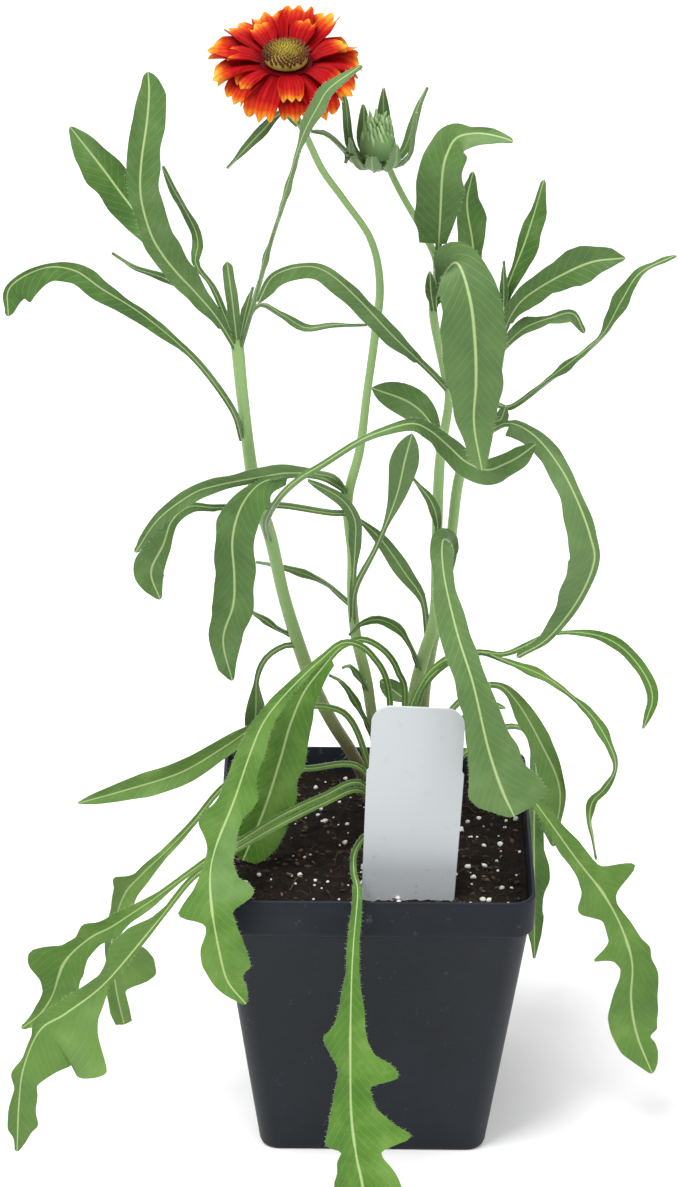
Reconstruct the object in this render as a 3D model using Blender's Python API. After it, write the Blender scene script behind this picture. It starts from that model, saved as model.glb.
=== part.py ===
"""Blanket flower plant in its square pot: metres, +Z up, origin at the middle of the pot's base.

The pot's front is -Y. The plant's stems and leaves are irregular, so each has its own spine: places
of the form (column, row, depth) lie on the line of sight of a 679 x 1187 picture of the plant, depth
being millimetres behind the pot's middle, and places made by mm() are millimetres in the pot's frame.
"""
import math
import random

import bmesh
import bpy
import numpy as np
from mathutils import Vector

MM = 0.001
SEED = 11

# The picture's viewpoint: the plant's lines are laid out along its sight lines.
EYE = np.array((-11.1, -986.5, 668.5))
LOOK_DOWN = math.radians(26.98)
PICTURE_ROLL = math.radians(-0.52)
FOCAL = 3931.5
PICTURE_MIDDLE = (339.5, 593.5)

# Pot, mm: half widths of the square outside, and the corner radius there.
POT_BASE_HALF = 32.9
POT_BODY_HALF = 43.4
POT_RIM_HALF = 45.0
POT_BASE_RADIUS = 5.5
POT_RIM_RADIUS = 7.0
POT_HEIGHT = 92.0
RIM_BAND = 11.5
WALL = 1.2
POT_FLOOR = 1.6
DRAIN_RADIUS = 4.0
DRAIN_OFFSET = 21.0
CORNER_STEPS = 4

# Soil, mm.
SOIL_TOP = 83.0
SOIL_GAP = 0.35
SOIL_LUMP = 0.6
HOLE_GAP = 0.4
HOLE_BOTTOM = 68.0

# Label, mm: bare plastic tag that leans back a little.
LABEL_WIDTH = 27.4
LABEL_NECK = 26.2
LABEL_THICK = 0.8
LABEL_TOP_Z = 143.5
LABEL_TOP_Y = -24.5
LABEL_FOOT_Z = 66.0
LABEL_FOOT_Y = -31.5
LABEL_FOOT_X = 8.4
LABEL_TOP_X = 11.4
LABEL_CORNER = 5.5
LABEL_SHOULDER = 20.0

# Leaves, mm.
BLADE = 0.75
STALK_THICK = 1.5
DEEP_CLEFT = 0.25
TIP_BUNCH = 1.4
STALK_HALF = 0.9
TIP_HALF = 0.45
WIDE_LEAF = 12.5
EDGE_STEP = 0.009

# Bloom and bud, mm.
BLOOM_TILT = math.radians(14)
RAYS_OUTER = 13
RAYS_INNER = 7
RING_RADIUS = 7.0
DISC_RADIUS = 5.8
DISC_HEIGHT = 3.4
DISC_FLORETS = 24
BUD_RADIUS = 5.0
BUD_FLORETS = 12

COLOURS = {
    "pot": ((0.020, 0.023, 0.029), 0.45),
    "soil": ((0.020, 0.012, 0.009), 0.95),
    "label": ((0.62, 0.64, 0.66), 0.4),
    "left_stem": ((0.105, 0.245, 0.065), 0.6),
    "bloom_stem": ((0.115, 0.255, 0.070), 0.6),
    "bud_stem": ((0.105, 0.250, 0.060), 0.6),
    "right_stem": ((0.105, 0.245, 0.060), 0.6),
    "rosette": ((0.090, 0.225, 0.050), 0.6),
    "bloom_rays": ((0.52, 0.015, 0.008), 0.6),
    "bloom_disc": ((0.33, 0.30, 0.05), 0.8),
    "bud_florets": ((0.20, 0.36, 0.12), 0.7),
}


def mm(x, y, z):
    """A place given straight in millimetres."""
    return Vector((x, y, z))


def place(point):
    """The place in millimetres: as given by mm(), or on the sight line of (column, row, depth)."""
    if isinstance(point, Vector):
        return point.copy()
    column, row, depth = point
    across, rise = column - PICTURE_MIDDLE[0], PICTURE_MIDDLE[1] - row
    cos_r, sin_r = math.cos(PICTURE_ROLL), math.sin(PICTURE_ROLL)
    across, rise = across * cos_r + rise * sin_r, rise * cos_r - across * sin_r
    cos_d, sin_d = math.cos(LOOK_DOWN), math.sin(LOOK_DOWN)
    sight = np.array((across, FOCAL * cos_d + rise * sin_d, rise * cos_d - FOCAL * sin_d))
    return Vector(EYE + sight * (depth - EYE[1]) / sight[1])


CROWN = mm(3.0, 6.0, 87.0)
CROWN_RADIUS = 5.2

# Stems: foot in the soil, spine above it, and radii at foot and top, mm.
STEMS = {
    "left_stem": dict(foot=(-1.5, 24.0), radii=(2.0, 1.7), spine=[
        (365, 780, 23), (350, 750, 20), (334, 725, 17), (319, 697, 15), (306, 666, 14), (285, 600, 12),
        (271, 539, 10), (254, 483, 8), (243, 400, 6), (238, 350, 6), (236, 338, 6)]),
    "bloom_stem": dict(foot=(5.0, 16.5), radii=(1.8, 0.8), spine=[
        (380, 765, 16), (371, 708, 15), (366, 676, 14), (356, 635, 13), (352, 592, 12), (352, 554, 12),
        (348, 500, 10), (360, 449, 9), (367, 394, 8), (375, 336, 7), (380, 285, 6), (371, 240, 4),
        (344, 200, 1), (323, 171, -1), (308, 140, -3), (294, 110, -2.5), (287, 84, -2)]),
    "bud_stem": dict(foot=(11.5, 14.0), radii=(2.1, 0.85), spine=[
        (412, 765, 14), (414, 700, 12), (424, 655, 11), (435, 615, 10), (437, 540, 10), (440, 462, 8),
        (449, 400, 6), (444, 369, 6), (433, 310, 4), (437, 265, 5), (425, 235, 6), (405, 200, 7),
        (395, 181, 8), (386, 161, 8)]),
    "right_stem": dict(foot=(14.5, 23.0), radii=(1.9, 1.2), spine=[
        (424, 765, 22), (424, 700, 19), (431, 650, 17), (440, 610, 16), (451, 540, 15), (460, 475, 14),
        (480, 430, 13), (496, 380, 12), (503, 330, 12), (505, 315, 12)]),
}


def leaf(name, spine, width, stalk=0.15, peak=0.6, roll=(0, 0), fold=18, lobes=0, cleft=0.0, wave=0.4,
         faces=None):
    """A leaf's measures: width in mm, stalk and peak as parts of its length, angles in degrees.

    Its upper side looks at `faces`, which is the viewpoint unless a place is given.
    """
    return dict(name=name, spine=spine, width=width, stalk=stalk, peak=peak, roll=roll, fold=fold,
                lobes=lobes, cleft=cleft, wave=wave, faces=EYE if faces is None else np.array(faces))


LEAVES = {
    "left_stem": [
        leaf("tall_front", [(238, 352, 6), (217, 318, 1), (196, 293, -1), (177, 273, -3), (162, 254, -4),
                            (150, 232, -5), (141, 198, -5), (141, 165, -4), (147, 121, -1), (149, 92, 1),
                            (148, 72, 3)], 10.5, 0.12),
        leaf("tall_back", [(238, 354, 6), (215, 310, 12), (160, 240, 22), (130, 205, 27), (100, 165, 30),
                           (70, 127, 32)], 11.0, 0.25),
        leaf("twisted", [(237, 345, 7), (215, 290, 12), (197, 264, 15), (199, 245, 18), (195, 227, 20),
                         (176, 192, 22), (163, 166, 24)], 4.2, 0.3, 0.6, roll=(20, 60)),
        leaf("thin_left", [(232, 335, 7), (200, 300, 8), (167, 278, 8), (135, 267, 8), (112, 253, 8)],
             2.6, 0.3, 0.6, roll=(40, 60)),
        leaf("arching", [(243, 440, 7), (234, 411, 2), (207, 372, -4), (180, 344, -8), (140, 312, -12),
                         (103, 289, -14), (74, 270, -15), (43, 268, -16), (10, 287, -17), (8, 316, -18)],
             8.0, 0.35, 0.72, roll=(40, 5)),
        leaf("edge_on", [(240, 350, 6), (255, 299, 0), (263, 270, -6), (273, 234, -13), (284, 202, -19),
                         (297, 157, -25), (305, 133, -27), (318, 108, -29), (331, 88, -30),
                         (362, 66, -31)], 6.5, 0.2, roll=(70, 55), fold=6),
        leaf("small_upright", [(238, 350, 6), (232, 299, 2), (227, 262, 2)], 4.0, 0.15),
        leaf("small_thin", [(240, 348, 7), (246, 315, 9), (253, 287, 11)], 3.0, 0.2, 0.55, roll=(30, 50)),
        leaf("hooked", [(238, 345, 7), (257, 306, 14), (280, 315, 16), (305, 329, 16), (332, 326, 16),
                        (367, 325, 16)], 3.0, 0.2, 0.6, roll=(50, 60)),
        leaf("crossing", [(270, 541, 10), (267, 522, 0), (280, 498, -12), (300, 479, -18),
                          (323, 465, -20), (359, 442, -20), (385, 431, -18), (412, 424, -15),
                          (430, 431, -11), (448, 446, -8), (466, 462, -7), (487, 470, -7), (505, 464, -7),
                          (520, 456, -6), (536, 444, -5)], 11.0, 0.5, roll=(40, 5)),
        leaf("low_hanging", [(300, 645, 13), (284, 646, 12), (266, 658, 11), (257, 678, 11),
                             (256, 705, 11), (255, 735, 12)], 7.0, 0.4, 0.72),
        leaf("low_thin", [(297, 636, 13), (281, 630, 13), (265, 619, 13), (247, 609, 13)], 2.6, 0.2, 0.6,
             roll=(50, 50)),
    ],
    "bloom_stem": [
        leaf("spreading", [(348, 496, 10), (332, 476, 6), (292, 472, -2), (262, 476, -4), (216, 485, -5),
                           (191, 494, -6), (158, 519, -8), (135, 552, -9)], 7.0, 0.2, roll=(40, 20)),
        leaf("bent_down", [(349, 512, 10), (330, 512, 6), (284, 505, 1), (262, 506, 1), (215, 507, -1),
                           (190, 506, -2), (172, 520, -4), (163, 545, -5), (151, 572, -5),
                           (160, 599, -5)], 11.0, 0.5, 0.78, roll=(40, 0)),
        leaf("hanging", [(349, 492, 10), (325, 478, 5), (300, 474, 0), (277, 477, -3), (257, 485, -5),
                         (240, 508, -7), (232, 540, -8), (234, 575, -8), (233, 605, -8), (223, 640, -7),
                         (232, 680, -6)], 13.2, 0.25, 0.62, roll=(30, 0)),
        leaf("inner_arch", [(352, 612, 12), (354, 580, 10), (356, 545, 8), (355, 518, 6), (340, 497, 5),
                            (308, 480, 4)], 4.8, 0.2, 0.6, roll=(20, 40)),
        leaf("rising", [(353, 622, 12), (356, 588, 9), (377, 546, 3), (396, 498, -2), (405, 460, -4),
                        (412, 434, -5)], 8.5, 0.3, 0.82, roll=(20, 0)),
        leaf("behind_left", [(353, 606, 12), (330, 586, 16), (311, 575, 18), (285, 567, 19),
                             (256, 562, 20)], 3.2, 0.2, 0.6, roll=(50, 60)),
        leaf("low_left", [(373, 735, 15), (362, 712, 12), (352, 694, 11), (342, 682, 11), (329, 675, 11)],
             2.8, 0.2, 0.6, roll=(40, 60)),
        leaf("low_curl", [(367, 690, 14), (362, 680, 11), (351, 666, 10), (342, 668, 10)], 2.4, 0.2, 0.6,
             roll=(40, 60)),
        leaf("top_bract", [(298, 124, -4), (281, 112, -6), (262, 130, -8), (245, 148, -8), (227, 168, -8)], 3.0, 0.1, 0.5, roll=(20, 30)),
    ],
    "bud_stem": [
        leaf("over_left", [(449, 390, 6), (430, 370, 1), (394, 336, -7), (359, 299, -13), (328, 272, -17),
                           (303, 266, -18), (273, 276, -20), (258, 302, -21)], 9.0, 0.2, 0.55,
             roll=(30, 20)),
        leaf("front_arch", [(435, 305, 5), (444, 275, 1), (458, 264, -6), (470, 299, -12),
                            (475, 342, -14), (476, 383, -15), (474, 424, -15), (482, 470, -17)], 18.0,
             0.1, 0.55, fold=12),
        leaf("curled_top", [(437, 268, 5), (440, 226, 1), (443, 172, -3), (449, 150, -3), (457, 138, -3), (470, 134, -4),
                           (485, 134, -6), (503, 138, -8), (513, 142, -9)], 14.0, 0.15, roll=(0, 20)),
        leaf("behind_top", [(433, 305, 4), (470, 274, 16), (473, 247, 18), (467, 204, 20),
                            (473, 172, 20)], 9.0, 0.25, 0.65),
        leaf("dark_back", [(441, 470, 8), (434, 430, 14), (412, 404, 18), (372, 388, 20)], 10.0, 0.2, 0.6),
        leaf("inner_left", [(428, 640, 11), (423, 600, 13), (406, 574, 16), (381, 539, 18),
                            (358, 518, 19)], 5.0, 0.2, 0.5, roll=(10, 20)),
        leaf("inner_thin", [(437, 545, 10), (438, 522, 4), (431, 500, 1), (413, 478, -1)], 3.2, 0.2, 0.5,
             roll=(10, 30)),
        leaf("inner_curl", [(421, 672, 11), (415, 655, 8), (401, 630, 6), (380, 619, 5), (361, 623, 4),
                            (349, 635, 4)], 3.4, 0.2, 0.6, roll=(50, 40)),
        leaf("low_bright", [(414, 706, 12), (398, 694, 17), (380, 680, 19)], 6.5, 0.2, 0.55),
        leaf("top_bit", [(434, 312, 4), (431, 292, 0), (430, 272, -2)], 3.4, 0.2, 0.55),
    ],
    "right_stem": [
        leaf("shoot_up", [(504, 328, 12), (507, 290, 14), (526, 239, 18), (544, 180, 20)], 8.4, 0.12, 0.5),
        leaf("shoot_thin", [(504, 328, 12), (505, 300, 12), (504, 261, 12)], 2.6, 0.2, 0.5, roll=(40, 40)),
        leaf("shoot_right", [(503, 334, 12), (512, 314, 8), (526, 297, 6), (558, 277, 2), (592, 262, -2),
                             (625, 258, -6)], 9.5, 0.12, 0.55),
        leaf("shoot_curl", [(502, 350, 12), (509, 343, 10), (526, 328, 7), (552, 318, 4), (573, 314, 3),
                            (584, 333, 2)], 6.0, 0.12, 0.6, roll=(30, 20)),
        leaf("long_right", [(492, 402, 13), (511, 408, 9), (547, 382, 4), (579, 357, 0), (604, 334, -3),
                            (623, 300, -5), (641, 273, -6), (676, 256, -8)], 4.8, 0.2, 0.7,
             roll=(60, 40), wave=0.9),
        leaf("small_round", [(489, 420, 13), (500, 420, 8), (506, 406, 6)], 4.0, 0.2, 0.6),
        leaf("big_droop", [(477, 444, 13), (490, 432, 10), (510, 424, 6), (535, 437, 2), (560, 468, -5),
                           (578, 503, -9), (590, 536, -12), (594, 562, -13), (578, 600, -13),
                           (548, 638, -11), (517, 657, -10)], 11.0, 0.15, roll=(35, -5)),
        leaf("front_hanging", [(449, 575, 15), (454, 553, 8), (449, 541, 2), (442, 543, -5),
                               (444, 577, -13), (457, 633, -22), (473, 684, -30), (488, 748, -34),
                               (502, 790, -36), (514, 816, -37)], 20.0, 0.12, 0.86, roll=(20, 0),
             fold=12),
    ],
    "rosette": [
        leaf("dark_left", [CROWN, (405, 705, 4), (398, 671, 2), (388, 654, 0), (374, 643, -2),
                           (361, 639, -3), (348, 643, -4), (337, 650, -5), (322, 668, -6),
                           (304, 692, -7), (290, 725, -8), (280, 760, -8), (264, 810, -9),
                           (243, 860, -12)], 18.5, 0.55, roll=(20, 0)),
        leaf("lobed_left", [CROWN, (390, 700, 1), (372, 655, -5), (345, 642, -9), (320, 660, -12),
                            (290, 689, -14), (266, 718, -17), (252, 748, -21), (233, 803, -28),
                            (216, 846, -36), (210, 875, -42), (212, 911, -50), (220, 955, -55),
                            (228, 982, -57), (246, 1004, -60)], 22.0, 0.42, roll=(20, 0)),
        leaf("flat_left", [CROWN, (356, 728, 6), (325, 706, 5), (290, 712, 5), (251, 729, 5),
                           (225, 746, 4), (181, 772, 1), (125, 790, -3), (78, 803, -6)], 8.0, 0.5, 0.55,
             roll=(30, 10)),
        leaf("far_left", [CROWN, (361, 768, 3), (310, 768, 1), (260, 773, -1), (225, 785, -2), (190, 826, -5),
                          (163, 854, -8), (142, 874, -9), (123, 897, -10), (112, 938, -11), (114, 972, -12),
                          (117, 994, -13), (124, 1024, -14)], 17.0, 0.5, roll=(20, 0)),
        leaf("corner_back", [CROWN, (361, 783, 0), (323, 796, -7), (280, 816, -14), (238, 842, -21), (218, 852, -23),
                             (190, 872, -24), (155, 898, -25), (137, 910, -26), (111, 927, -27),
                             (93, 936, -28), (75, 950, -29), (64, 963, -30), (58, 978, -31),
                             (52, 996, -31), (40, 1014, -32), (22, 1028, -32)], 20.0, 0.55, roll=(10, 0)),
        leaf("corner_front", [CROWN, (361, 790, -1), (323, 803, -9), (280, 824, -18), (238, 848, -26),
                              (218, 860, -28), (190, 880, -31), (155, 924, -37), (106, 982, -43),
                              (66, 1013, -47), (40, 1030, -49), (24, 1066, -52), (19, 1101, -54),
                              (17, 1151, -57)], 23.0, 0.5, roll=(20, 0)),
        leaf("front_low", [CROWN, mm(-3.0, -6, 91), mm(-6.3, -20, 93.5), mm(-6.5, -33, 94.8),
                           (357, 893, -47), (353, 944, -56), (351, 986, -63), (350, 1049, -72),
                           (351, 1113, -80), (356, 1155, -86), (363, 1190, -91), mm(-1.5, -97, 12)],
             24.0, 0.34, roll=(30, 0)),
        leaf("right_lobed", [CROWN, (425, 742, 3), (455, 722, 1), (490, 745, -3), (536, 804, -8),
                             (576, 859, -12), (604, 895, -15), (622, 929, -17), (632, 963, -19),
                             (631, 1000, -20), (637, 1035, -21), (652, 1073, -23)], 22.0, 0.42,
                             roll=(20, 0)),
        leaf("right_plain", [CROWN, (432, 738, 3), (465, 697, 6), (494, 685, 9), (515, 700, 11),
                             (540, 742, 12), (560, 791, 12), (553, 846, 11)], 10.0, 0.45, 0.55,
             roll=(30, 0)),
        leaf("right_narrow", [CROWN, (405, 730, 3), (425, 680, 1), (450, 659, 0), (478, 653, 0), (508, 663, -1),
                              (547, 679, -2), (583, 708, -3), (603, 734, -4), (615, 765, -5),
                              (605, 787, -6), (592, 801, -6), (589, 819, -6), (592, 836, -7),
                              (596, 859, -7)], 2.9, 0.3, 0.6, roll=(50, 30), wave=0.8),
        leaf("right_hook", [CROWN, (415, 715, 5), (428, 682, 4), (452, 661, 4), (478, 653, 5), (503, 655, 7),
                            (525, 647, 9), (552, 634, 10), (593, 635, 8), (619, 646, 6), (637, 664, 4),
                            (649, 684, 2), (652, 700, 1), (648, 714, 0), (643, 728, 0)], 4.2, 0.5, 0.75,
             roll=(50, 20)),
        leaf("small_right", [CROWN, (440, 745, 4), (475, 715, 4), (494, 706, 5), (505, 708, 6)], 4.2, 0.6, 0.5),
        leaf("back_trailing", [CROWN, mm(9, 5, 93), mm(20, 14, 100), mm(34, 34, 103), mm(45, 50, 95),
                               mm(49, 57, 78), mm(49, 57, 60), (534, 958, 52)], 10.0, 0.4, 0.65,
             roll=(30, 40), lobes=3, cleft=0.3),
    ],
}

# Edges of the larger leaves, seen from the root toward the tip: first the left edge, then the right,
# each as pairs of the part of the leaf's length and the distance from the midrib in mm.
EDGES = {
    "tall_front": (
        ((0.13, 1.6), (0.24, 3.0), (0.32, 3.3), (0.40, 3.0), (0.48, 3.3), (0.59, 2.8), (0.70, 4.0),
         (0.84, 4.5), (0.94, 3.2), (0.98, 2.0), (1, 0.9)),
        ((0.13, 1.6), (0.24, 2.6), (0.32, 4.4), (0.40, 5.9), (0.59, 6.0), (0.70, 5.6), (0.84, 5.3),
         (0.94, 4.8), (0.98, 2.6), (1, 0.9))),
    "tall_back": (
        ((0.25, 1.2), (0.4, 3.5), (0.5, 4.1), (0.6, 5.3), (0.7, 6.0), (0.8, 6.5), (0.9, 4.9), (0.95, 3.0),
         (1, 0.6)),
        ((0.25, 1.2), (0.4, 3.0), (0.5, 4.5), (0.7, 5.6), (0.8, 5.3), (0.9, 3.9), (0.95, 2.6), (1, 0.8))),
    "arching": (
        ((0.35, 0.9), (0.5, 2.6), (0.6, 3.3), (0.7, 3.8), (0.8, 3.9), (0.85, 5.3), (0.9, 6.9), (0.95, 5.0),
         (1, 0.8)),
        ((0.35, 0.9), (0.5, 1.3), (0.6, 1.7), (0.7, 3.0), (0.8, 1.2), (0.9, 1.2), (0.95, 1.3), (1, 0.5))),
    "edge_on": (
        ((0.2, 0.7), (0.6, 0.7), (0.7, 1.6), (0.8, 3.2), (0.9, 3.0), (0.96, 2.0), (1, 0.5)),
        ((0.2, 0.7), (0.6, 0.7), (0.7, 1.6), (0.8, 3.2), (0.9, 3.0), (0.96, 2.0), (1, 0.5))),
    "small_upright": (
        ((0.15, 1.2), (0.5, 1.9), (0.8, 1.8), (0.95, 1.6), (1, 0.9)),
        ((0.15, 1.2), (0.5, 1.9), (0.8, 1.8), (0.95, 1.6), (1, 0.9))),
    "crossing": (
        ((0.5, 0.9), (0.6, 1.2), (0.7, 2.0), (0.8, 3.0), (0.9, 3.2), (0.96, 2.8), (1, 0.8)),
        ((0.5, 0.9), (0.6, 1.6), (0.7, 3.5), (0.8, 4.2), (0.9, 4.9), (0.96, 3.4), (1, 0.8))),
    "spreading": (
        ((0.2, 0.8), (0.4, 1.5), (0.5, 1.7), (0.6, 2.1), (0.7, 2.6), (0.8, 2.5), (0.9, 1.9), (0.95, 1.3),
         (1, 0.5)),
        ((0.2, 1.0), (0.3, 2.5), (0.4, 3.6), (0.5, 3.4), (0.6, 3.0), (0.7, 2.3), (0.8, 2.1), (0.9, 2.0),
         (0.95, 1.4), (1, 0.5))),
    "bent_down": (
        ((0.5, 1.2), (0.6, 2.0), (0.75, 2.1), (0.8, 2.8), (0.85, 3.7), (0.9, 3.8), (0.95, 2.4), (1, 0.7)),
        ((0.5, 0.9), (0.6, 1.0), (0.65, 2.0), (0.7, 3.8), (0.75, 5.6), (0.8, 6.2), (0.85, 5.9), (0.9, 5.0),
         (0.95, 3.1), (1, 0.7))),
    "hanging": (
        ((0.2, 0.9), (0.3, 4.2), (0.35, 6.2), (0.42, 6.8), (0.5, 6.3), (0.6, 6.2), (0.7, 6.2), (0.8, 5.8),
         (0.85, 5.6), (0.9, 4.3), (0.95, 2.4), (1, 0.6)),
        ((0.3, 0.9), (0.35, 1.4), (0.42, 4.5), (0.47, 6.4), (0.6, 6.0), (0.7, 6.5), (0.75, 6.4), (0.8, 5.3),
         (0.85, 4.3), (0.9, 4.0), (0.95, 3.3), (1, 0.6))),
    "over_left": (
        ((0.2, 1.5), (0.35, 3.0), (0.5, 3.5), (0.6, 3.5), (0.7, 3.8), (0.8, 3.4), (0.9, 3.6), (0.95, 2.8),
         (1, 0.6)),
        ((0.2, 1.2), (0.35, 2.4), (0.5, 2.5), (0.6, 2.4), (0.7, 1.5), (0.8, 0.9), (0.9, 1.4), (0.95, 1.1),
         (1, 0.5))),
    "front_arch": (
        ((0.1, 1.2), (0.2, 5.0), (0.3, 7.0), (0.4, 8.3), (0.5, 8.8), (0.6, 8.5), (0.7, 7.5), (0.8, 6.4),
         (0.9, 4.5), (0.95, 3.0), (1, 0.8)),
        ((0.1, 1.2), (0.2, 3.4), (0.3, 6.2), (0.4, 9.3), (0.5, 9.3), (0.6, 9.1), (0.7, 8.0), (0.8, 5.5),
         (0.9, 3.6), (0.95, 3.0), (1, 0.8))),
    "curled_top": (
        ((0.05, 2.5), (0.12, 4.8), (0.2, 6.5), (0.3, 7.2), (0.4, 7.4), (0.5, 7.0), (0.6, 6.2), (0.7, 4.9),
         (0.8, 1.8), (0.9, 1.9), (1, 0.6)),
        ((0.05, 1.0), (0.2, 2.8), (0.3, 4.4), (0.4, 5.9), (0.5, 7.0), (0.6, 6.8), (0.7, 6.0), (0.8, 4.2),
         (0.9, 3.0), (1, 0.7))),
    "behind_top": (
        ((0.3, 2.5), (0.5, 4.5), (0.6, 4.5), (0.7, 3.6), (0.8, 2.5), (0.9, 1.6), (1, 0.5)),
        ((0.3, 1.2), (0.5, 2.5), (0.6, 4.2), (0.7, 5.3), (0.8, 4.8), (0.9, 3.0), (1, 0.5))),
    "shoot_up": (
        ((0.12, 0.9), (0.4, 1.0), (0.5, 1.7), (0.6, 2.3), (0.7, 2.2), (0.8, 1.1), (0.9, 0.8), (1, 0.4)),
        ((0.12, 0.9), (0.2, 1.4), (0.3, 2.6), (0.4, 3.6), (0.5, 4.2), (0.6, 4.6), (0.7, 4.1), (0.8, 3.6),
         (0.9, 2.1), (1, 0.5))),
    "shoot_right": (
        ((0.1, 1.4), (0.2, 3.0), (0.3, 2.9), (0.4, 3.8), (0.5, 4.1), (0.6, 4.3), (0.7, 5.6), (0.78, 5.5),
         (0.85, 4.0), (0.94, 3.2), (1, 0.5)),
        ((0.1, 1.4), (0.2, 1.8), (0.3, 3.3), (0.4, 4.0), (0.5, 3.3), (0.6, 4.7), (0.7, 5.8), (0.78, 5.1),
         (0.9, 2.9), (0.95, 1.6), (1, 0.4))),
    "shoot_curl": (
        ((0.1, 1.6), (0.2, 2.8), (0.4, 2.8), (0.5, 1.5), (0.6, 0.8), (0.7, 1.2), (0.8, 1.1), (1, 0.4)),
        ((0.1, 0.9), (0.2, 1.2), (0.4, 2.0), (0.5, 2.0), (0.6, 1.5), (0.7, 2.9), (0.8, 3.9), (0.9, 2.4),
         (1, 0.4))),
    "big_droop": (
        ((0.12, 1.0), (0.3, 2.9), (0.4, 2.0), (0.5, 2.1), (0.6, 1.6), (0.7, 1.5), (0.8, 1.4), (0.9, 1.2),
         (1, 0.5)),
        ((0.06, 1.5), (0.12, 5.5), (0.2, 5.0), (0.3, 4.0), (0.4, 5.6), (0.5, 7.0), (0.6, 8.2), (0.7, 7.2),
         (0.8, 4.6), (0.9, 2.2), (1, 0.5))),
    "front_hanging": (
        ((0.12, 1.0), (0.25, 2.3), (0.3, 3.1), (0.4, 2.6), (0.5, 3.8), (0.6, 3.9), (0.65, 4.4), (0.7, 5.3),
         (0.75, 6.5), (0.8, 7.7), (0.85, 9.2), (0.93, 11.3), (0.975, 12.0), (1, 4.5)),
        ((0.12, 1.2), (0.25, 3.5), (0.35, 3.6), (0.45, 5.0), (0.6, 5.4), (0.75, 5.5), (0.8, 6.0),
         (0.85, 7.3), (0.9, 9.7), (0.935, 8.9), (0.975, 4.2), (1, 1.2))),
    "dark_left": (
        ((0.5, 1.0), (0.6, 3.6), (0.67, 5.7), (0.75, 7.2), (0.83, 8.0), (0.9, 8.5), (0.95, 8.0),
         (0.98, 6.4), (1, 3.0)),
        ((0.5, 1.0), (0.6, 3.4), (0.67, 5.2), (0.75, 6.6), (0.83, 7.0), (0.9, 7.0), (0.95, 6.2),
         (0.98, 4.6), (1, 2.0))),
    "lobed_left": (
        ((0.42, 0.9), (0.5, 1.6), (0.55, 2.8), (0.6, 4.1), (0.65, 4.8), (0.668, 6.6), (0.685, 6.2),
         (0.70, 4.3), (0.724, 4.4), (0.748, 5.7), (0.78, 6.7), (0.805, 8.5), (0.818, 13.0), (0.832, 14.8),
         (0.842, 12.5), (0.855, 5.7), (0.878, 6.5), (0.91, 7.7), (0.945, 8.4), (0.96, 5.2), (0.975, 4.2),
         (0.99, 2.8), (1, 0.6)),
        ((0.42, 0.9), (0.5, 2.0), (0.55, 3.0), (0.6, 4.0), (0.65, 4.3), (0.7, 5.8), (0.735, 8.9),
         (0.748, 4.4), (0.76, 2.2), (0.78, 1.9), (0.805, 3.4), (0.825, 5.2), (0.842, 8.4), (0.855, 11.2),
         (0.866, 3.2), (0.878, 2.9), (0.90, 5.3), (0.925, 6.3), (0.945, 4.8), (0.975, 2.6), (1, 0.6))),
    "far_left": (
        ((0.5, 1.0), (0.6, 1.6), (0.66, 3.0), (0.72, 4.0), (0.8, 3.2), (0.82, 9.5), (0.86, 13.2),
         (0.89, 13.0), (0.91, 9.5), (0.925, 2.6), (0.97, 3.0), (1, 2.6)),
        ((0.5, 1.0), (0.6, 1.3), (0.67, 2.1), (0.685, 3.8), (0.695, 6.8), (0.71, 3.8), (0.75, 2.4),
         (0.82, 2.2), (0.88, 2.4), (0.93, 3.6), (0.97, 3.4), (1, 2.4))),
    "corner_back": (
        ((0.55, 0.9), (0.6, 1.5), (0.65, 2.3), (0.68, 2.3), (0.71, 3.3), (0.75, 3.4), (0.79, 4.7),
         (0.83, 7.6), (0.87, 7.8), (0.90, 5.0), (0.93, 4.0), (0.97, 2.2), (1, 0.6)),
        ((0.55, 0.9), (0.6, 1.0), (0.67, 2.4), (0.7, 3.1), (0.74, 3.8), (0.755, 5.2), (0.78, 2.7),
         (0.81, 4.0), (0.825, 7.9), (0.838, 11.4), (0.856, 9.3), (0.874, 4.8), (0.9, 3.4), (0.94, 2.8),
         (0.97, 1.5), (1, 0.5))),
    "corner_front": (
        ((0.5, 0.9), (0.6, 1.2), (0.655, 1.4), (0.68, 4.3), (0.70, 6.7), (0.715, 12.1), (0.722, 18.7),
         (0.732, 24.0), (0.742, 22.0), (0.752, 19.5), (0.777, 16.1), (0.82, 12.5), (0.84, 9.6),
         (0.865, 6.9), (0.88, 4.9), (0.913, 5.8), (0.952, 6.4), (0.962, 4.3), (0.98, 2.8), (1, 0.6)),
        ((0.5, 0.9), (0.53, 2.2), (0.565, 6.0), (0.598, 6.8), (0.623, 5.7), (0.655, 3.2), (0.7, 4.0),
         (0.78, 3.8), (0.80, 1.2), (0.84, 1.3), (0.868, 3.5), (0.89, 1.6), (0.926, 3.1), (0.962, 3.2),
         (0.975, 1.4), (1, 0.6))),
    "front_low": (
        ((0.34, 1.4), (0.45, 1.8), (0.5, 2.2), (0.55, 3.2), (0.6, 4.7), (0.634, 5.4), (0.653, 7.0),
         (0.661, 10.1), (0.67, 12.8), (0.686, 14.5), (0.698, 12.8), (0.706, 5.4), (0.733, 6.3),
         (0.752, 7.4), (0.762, 9.6), (0.777, 12.0), (0.795, 14.4), (0.81, 16.6), (0.82, 15.6),
         (0.828, 8.0), (0.84, 8.2), (0.864, 9.7), (0.9, 11.3), (0.94, 8.5), (0.97, 5.5), (1, 0.6)),
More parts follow.
